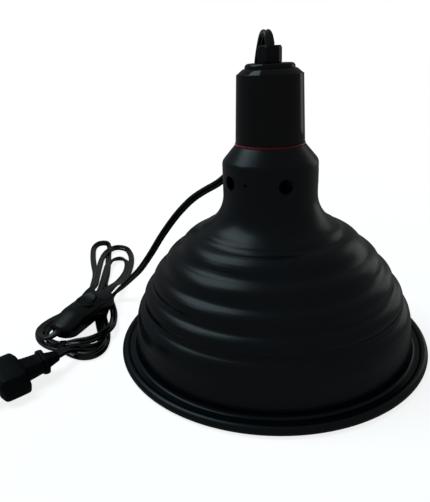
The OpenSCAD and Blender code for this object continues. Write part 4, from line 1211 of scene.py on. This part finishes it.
# %% Mould the plug
plug_place = (Matrix.Translation((-171, -80, 10.5)) @ Matrix.Rotation(math.radians(229), 4, "Z")
              @ Matrix.Rotation(math.radians(-20), 4, "X"))
plug_w, plug_h, plug_edge, plug_least = 32.0, 16.0, 2.0, 5.0
corner_steps = 5
eight_sides = (
    (1, 0.18), (0.58, 0.5), (-0.58, 0.5), (-1, 0.18), (-1, -0.18), (-0.58, -0.5), (0.58, -0.5),
    (1, -0.18))


def plug_ring(x, wide, high):
    w, h = max(wide * plug_w, plug_least), max(high * plug_h, plug_least)
    corners = [Vector((a * (w / 2 - plug_edge), b * (h - 2 * plug_edge))) for a, b in eight_sides]
    points = []
    for k, corner in enumerate(corners):
        before, after = corner - corners[k - 1], corners[(k + 1) % len(corners)] - corner
        start = math.atan2(-before.x, before.y)
        sweep = (math.atan2(-after.x, after.y) - start) % (2 * math.pi)
        for i in range(corner_steps + 1):
            a = start + sweep * i / corner_steps
            out = plug_edge * Vector((math.cos(a), math.sin(a)))
            points.append(tuple(plug_place @ Vector((x, corner.x + out.x, corner.y + out.y))))
    return points


plug_rows = (
    (0, 0.84, 0.78), (-0.15, 0.88, 0.84), (-0.5, 0.92, 0.90), (-1.1, 0.955, 0.95), (-2, 0.98, 0.98),
    (-4, 0.99, 0.99), (-9, 0.997, 0.997), (-14.6, 1, 1), (-15.6, 0.99, 0.985), (-16.3, 0.965, 0.95),
    (-16.8, 0.925, 0.90), (-17.1, 0.86, 0.84), (-17.4, 0.62, 0.8), (-17.9, 0.54, 0.785),
    (-18.8, 0.525, 0.78), (-24, 0.49, 0.74), (-28.8, 0.462, 0.705), (-29.4, 0.47, 0.715),
    (-29.75, 0.5, 0.77), (-29.95, 0.53, 0.83), (-30.3, 0.552, 0.868), (-30.8, 0.56, 0.88),
    (-32.2, 0.56, 0.88), (-32.7, 0.552, 0.868), (-33.05, 0.53, 0.83), (-33.25, 0.48, 0.75),
    (-33.4, 0.4, 0.6), (-33.8, 0.365, 0.545), (-36, 0.33, 0.49), (-39, 0.285, 0.41), (-41.4, 0.25, 0.355),
    (-41.9, 0.235, 0.33), (-42.1, 0.2, 0.3))
stacked("plug_moulded_body", [plug_ring(*r) for r in plug_rows], plug_black, "fixture",
        ("plug_body",), sharp=40)

# %% [markdown]
# ## The tie
# One soft band holds the hank where two strands come together. It is a flat strip bent round a rounded
# rectangle, so each ring of the stack is the strip's own small section, and the stack closes on itself.

# %% Bend the tie round the strands
tie_place = Matrix.Translation((-150.5, -24.9, 2.35)) @ Matrix.Rotation(math.radians(10), 4, "Z")
tie_half_w, tie_half_h, tie_bend, bend_steps = 6.5, 1.95, 1.7, 8
strip = (
    (-2, -0.2), (-1.85, -0.35), (1.85, -0.35), (2, -0.2), (2, 0.2), (1.85, 0.35), (-1.85, 0.35),
    (-2, 0.2))
tie_rings = []
for corner_no, (sy, sz) in enumerate(((1, 1), (-1, 1), (-1, -1), (1, -1))):
    for i in range(bend_steps + 1):
        a = math.pi / 2 * (corner_no + i / bend_steps)
        y = sy * (tie_half_w - tie_bend) + tie_bend * math.cos(a)
        z = sz * (tie_half_h - tie_bend) + tie_bend * math.sin(a)
        section = [Vector((x, y + n * math.cos(a), z + n * math.sin(a))) for x, n in strip]
        tie_rings.append([tuple(tie_place @ p) for p in section])
stacked("hank_tie_band", tie_rings, soft_black, "fixture", ("hank_tie",),
        around=True, sharp=40)
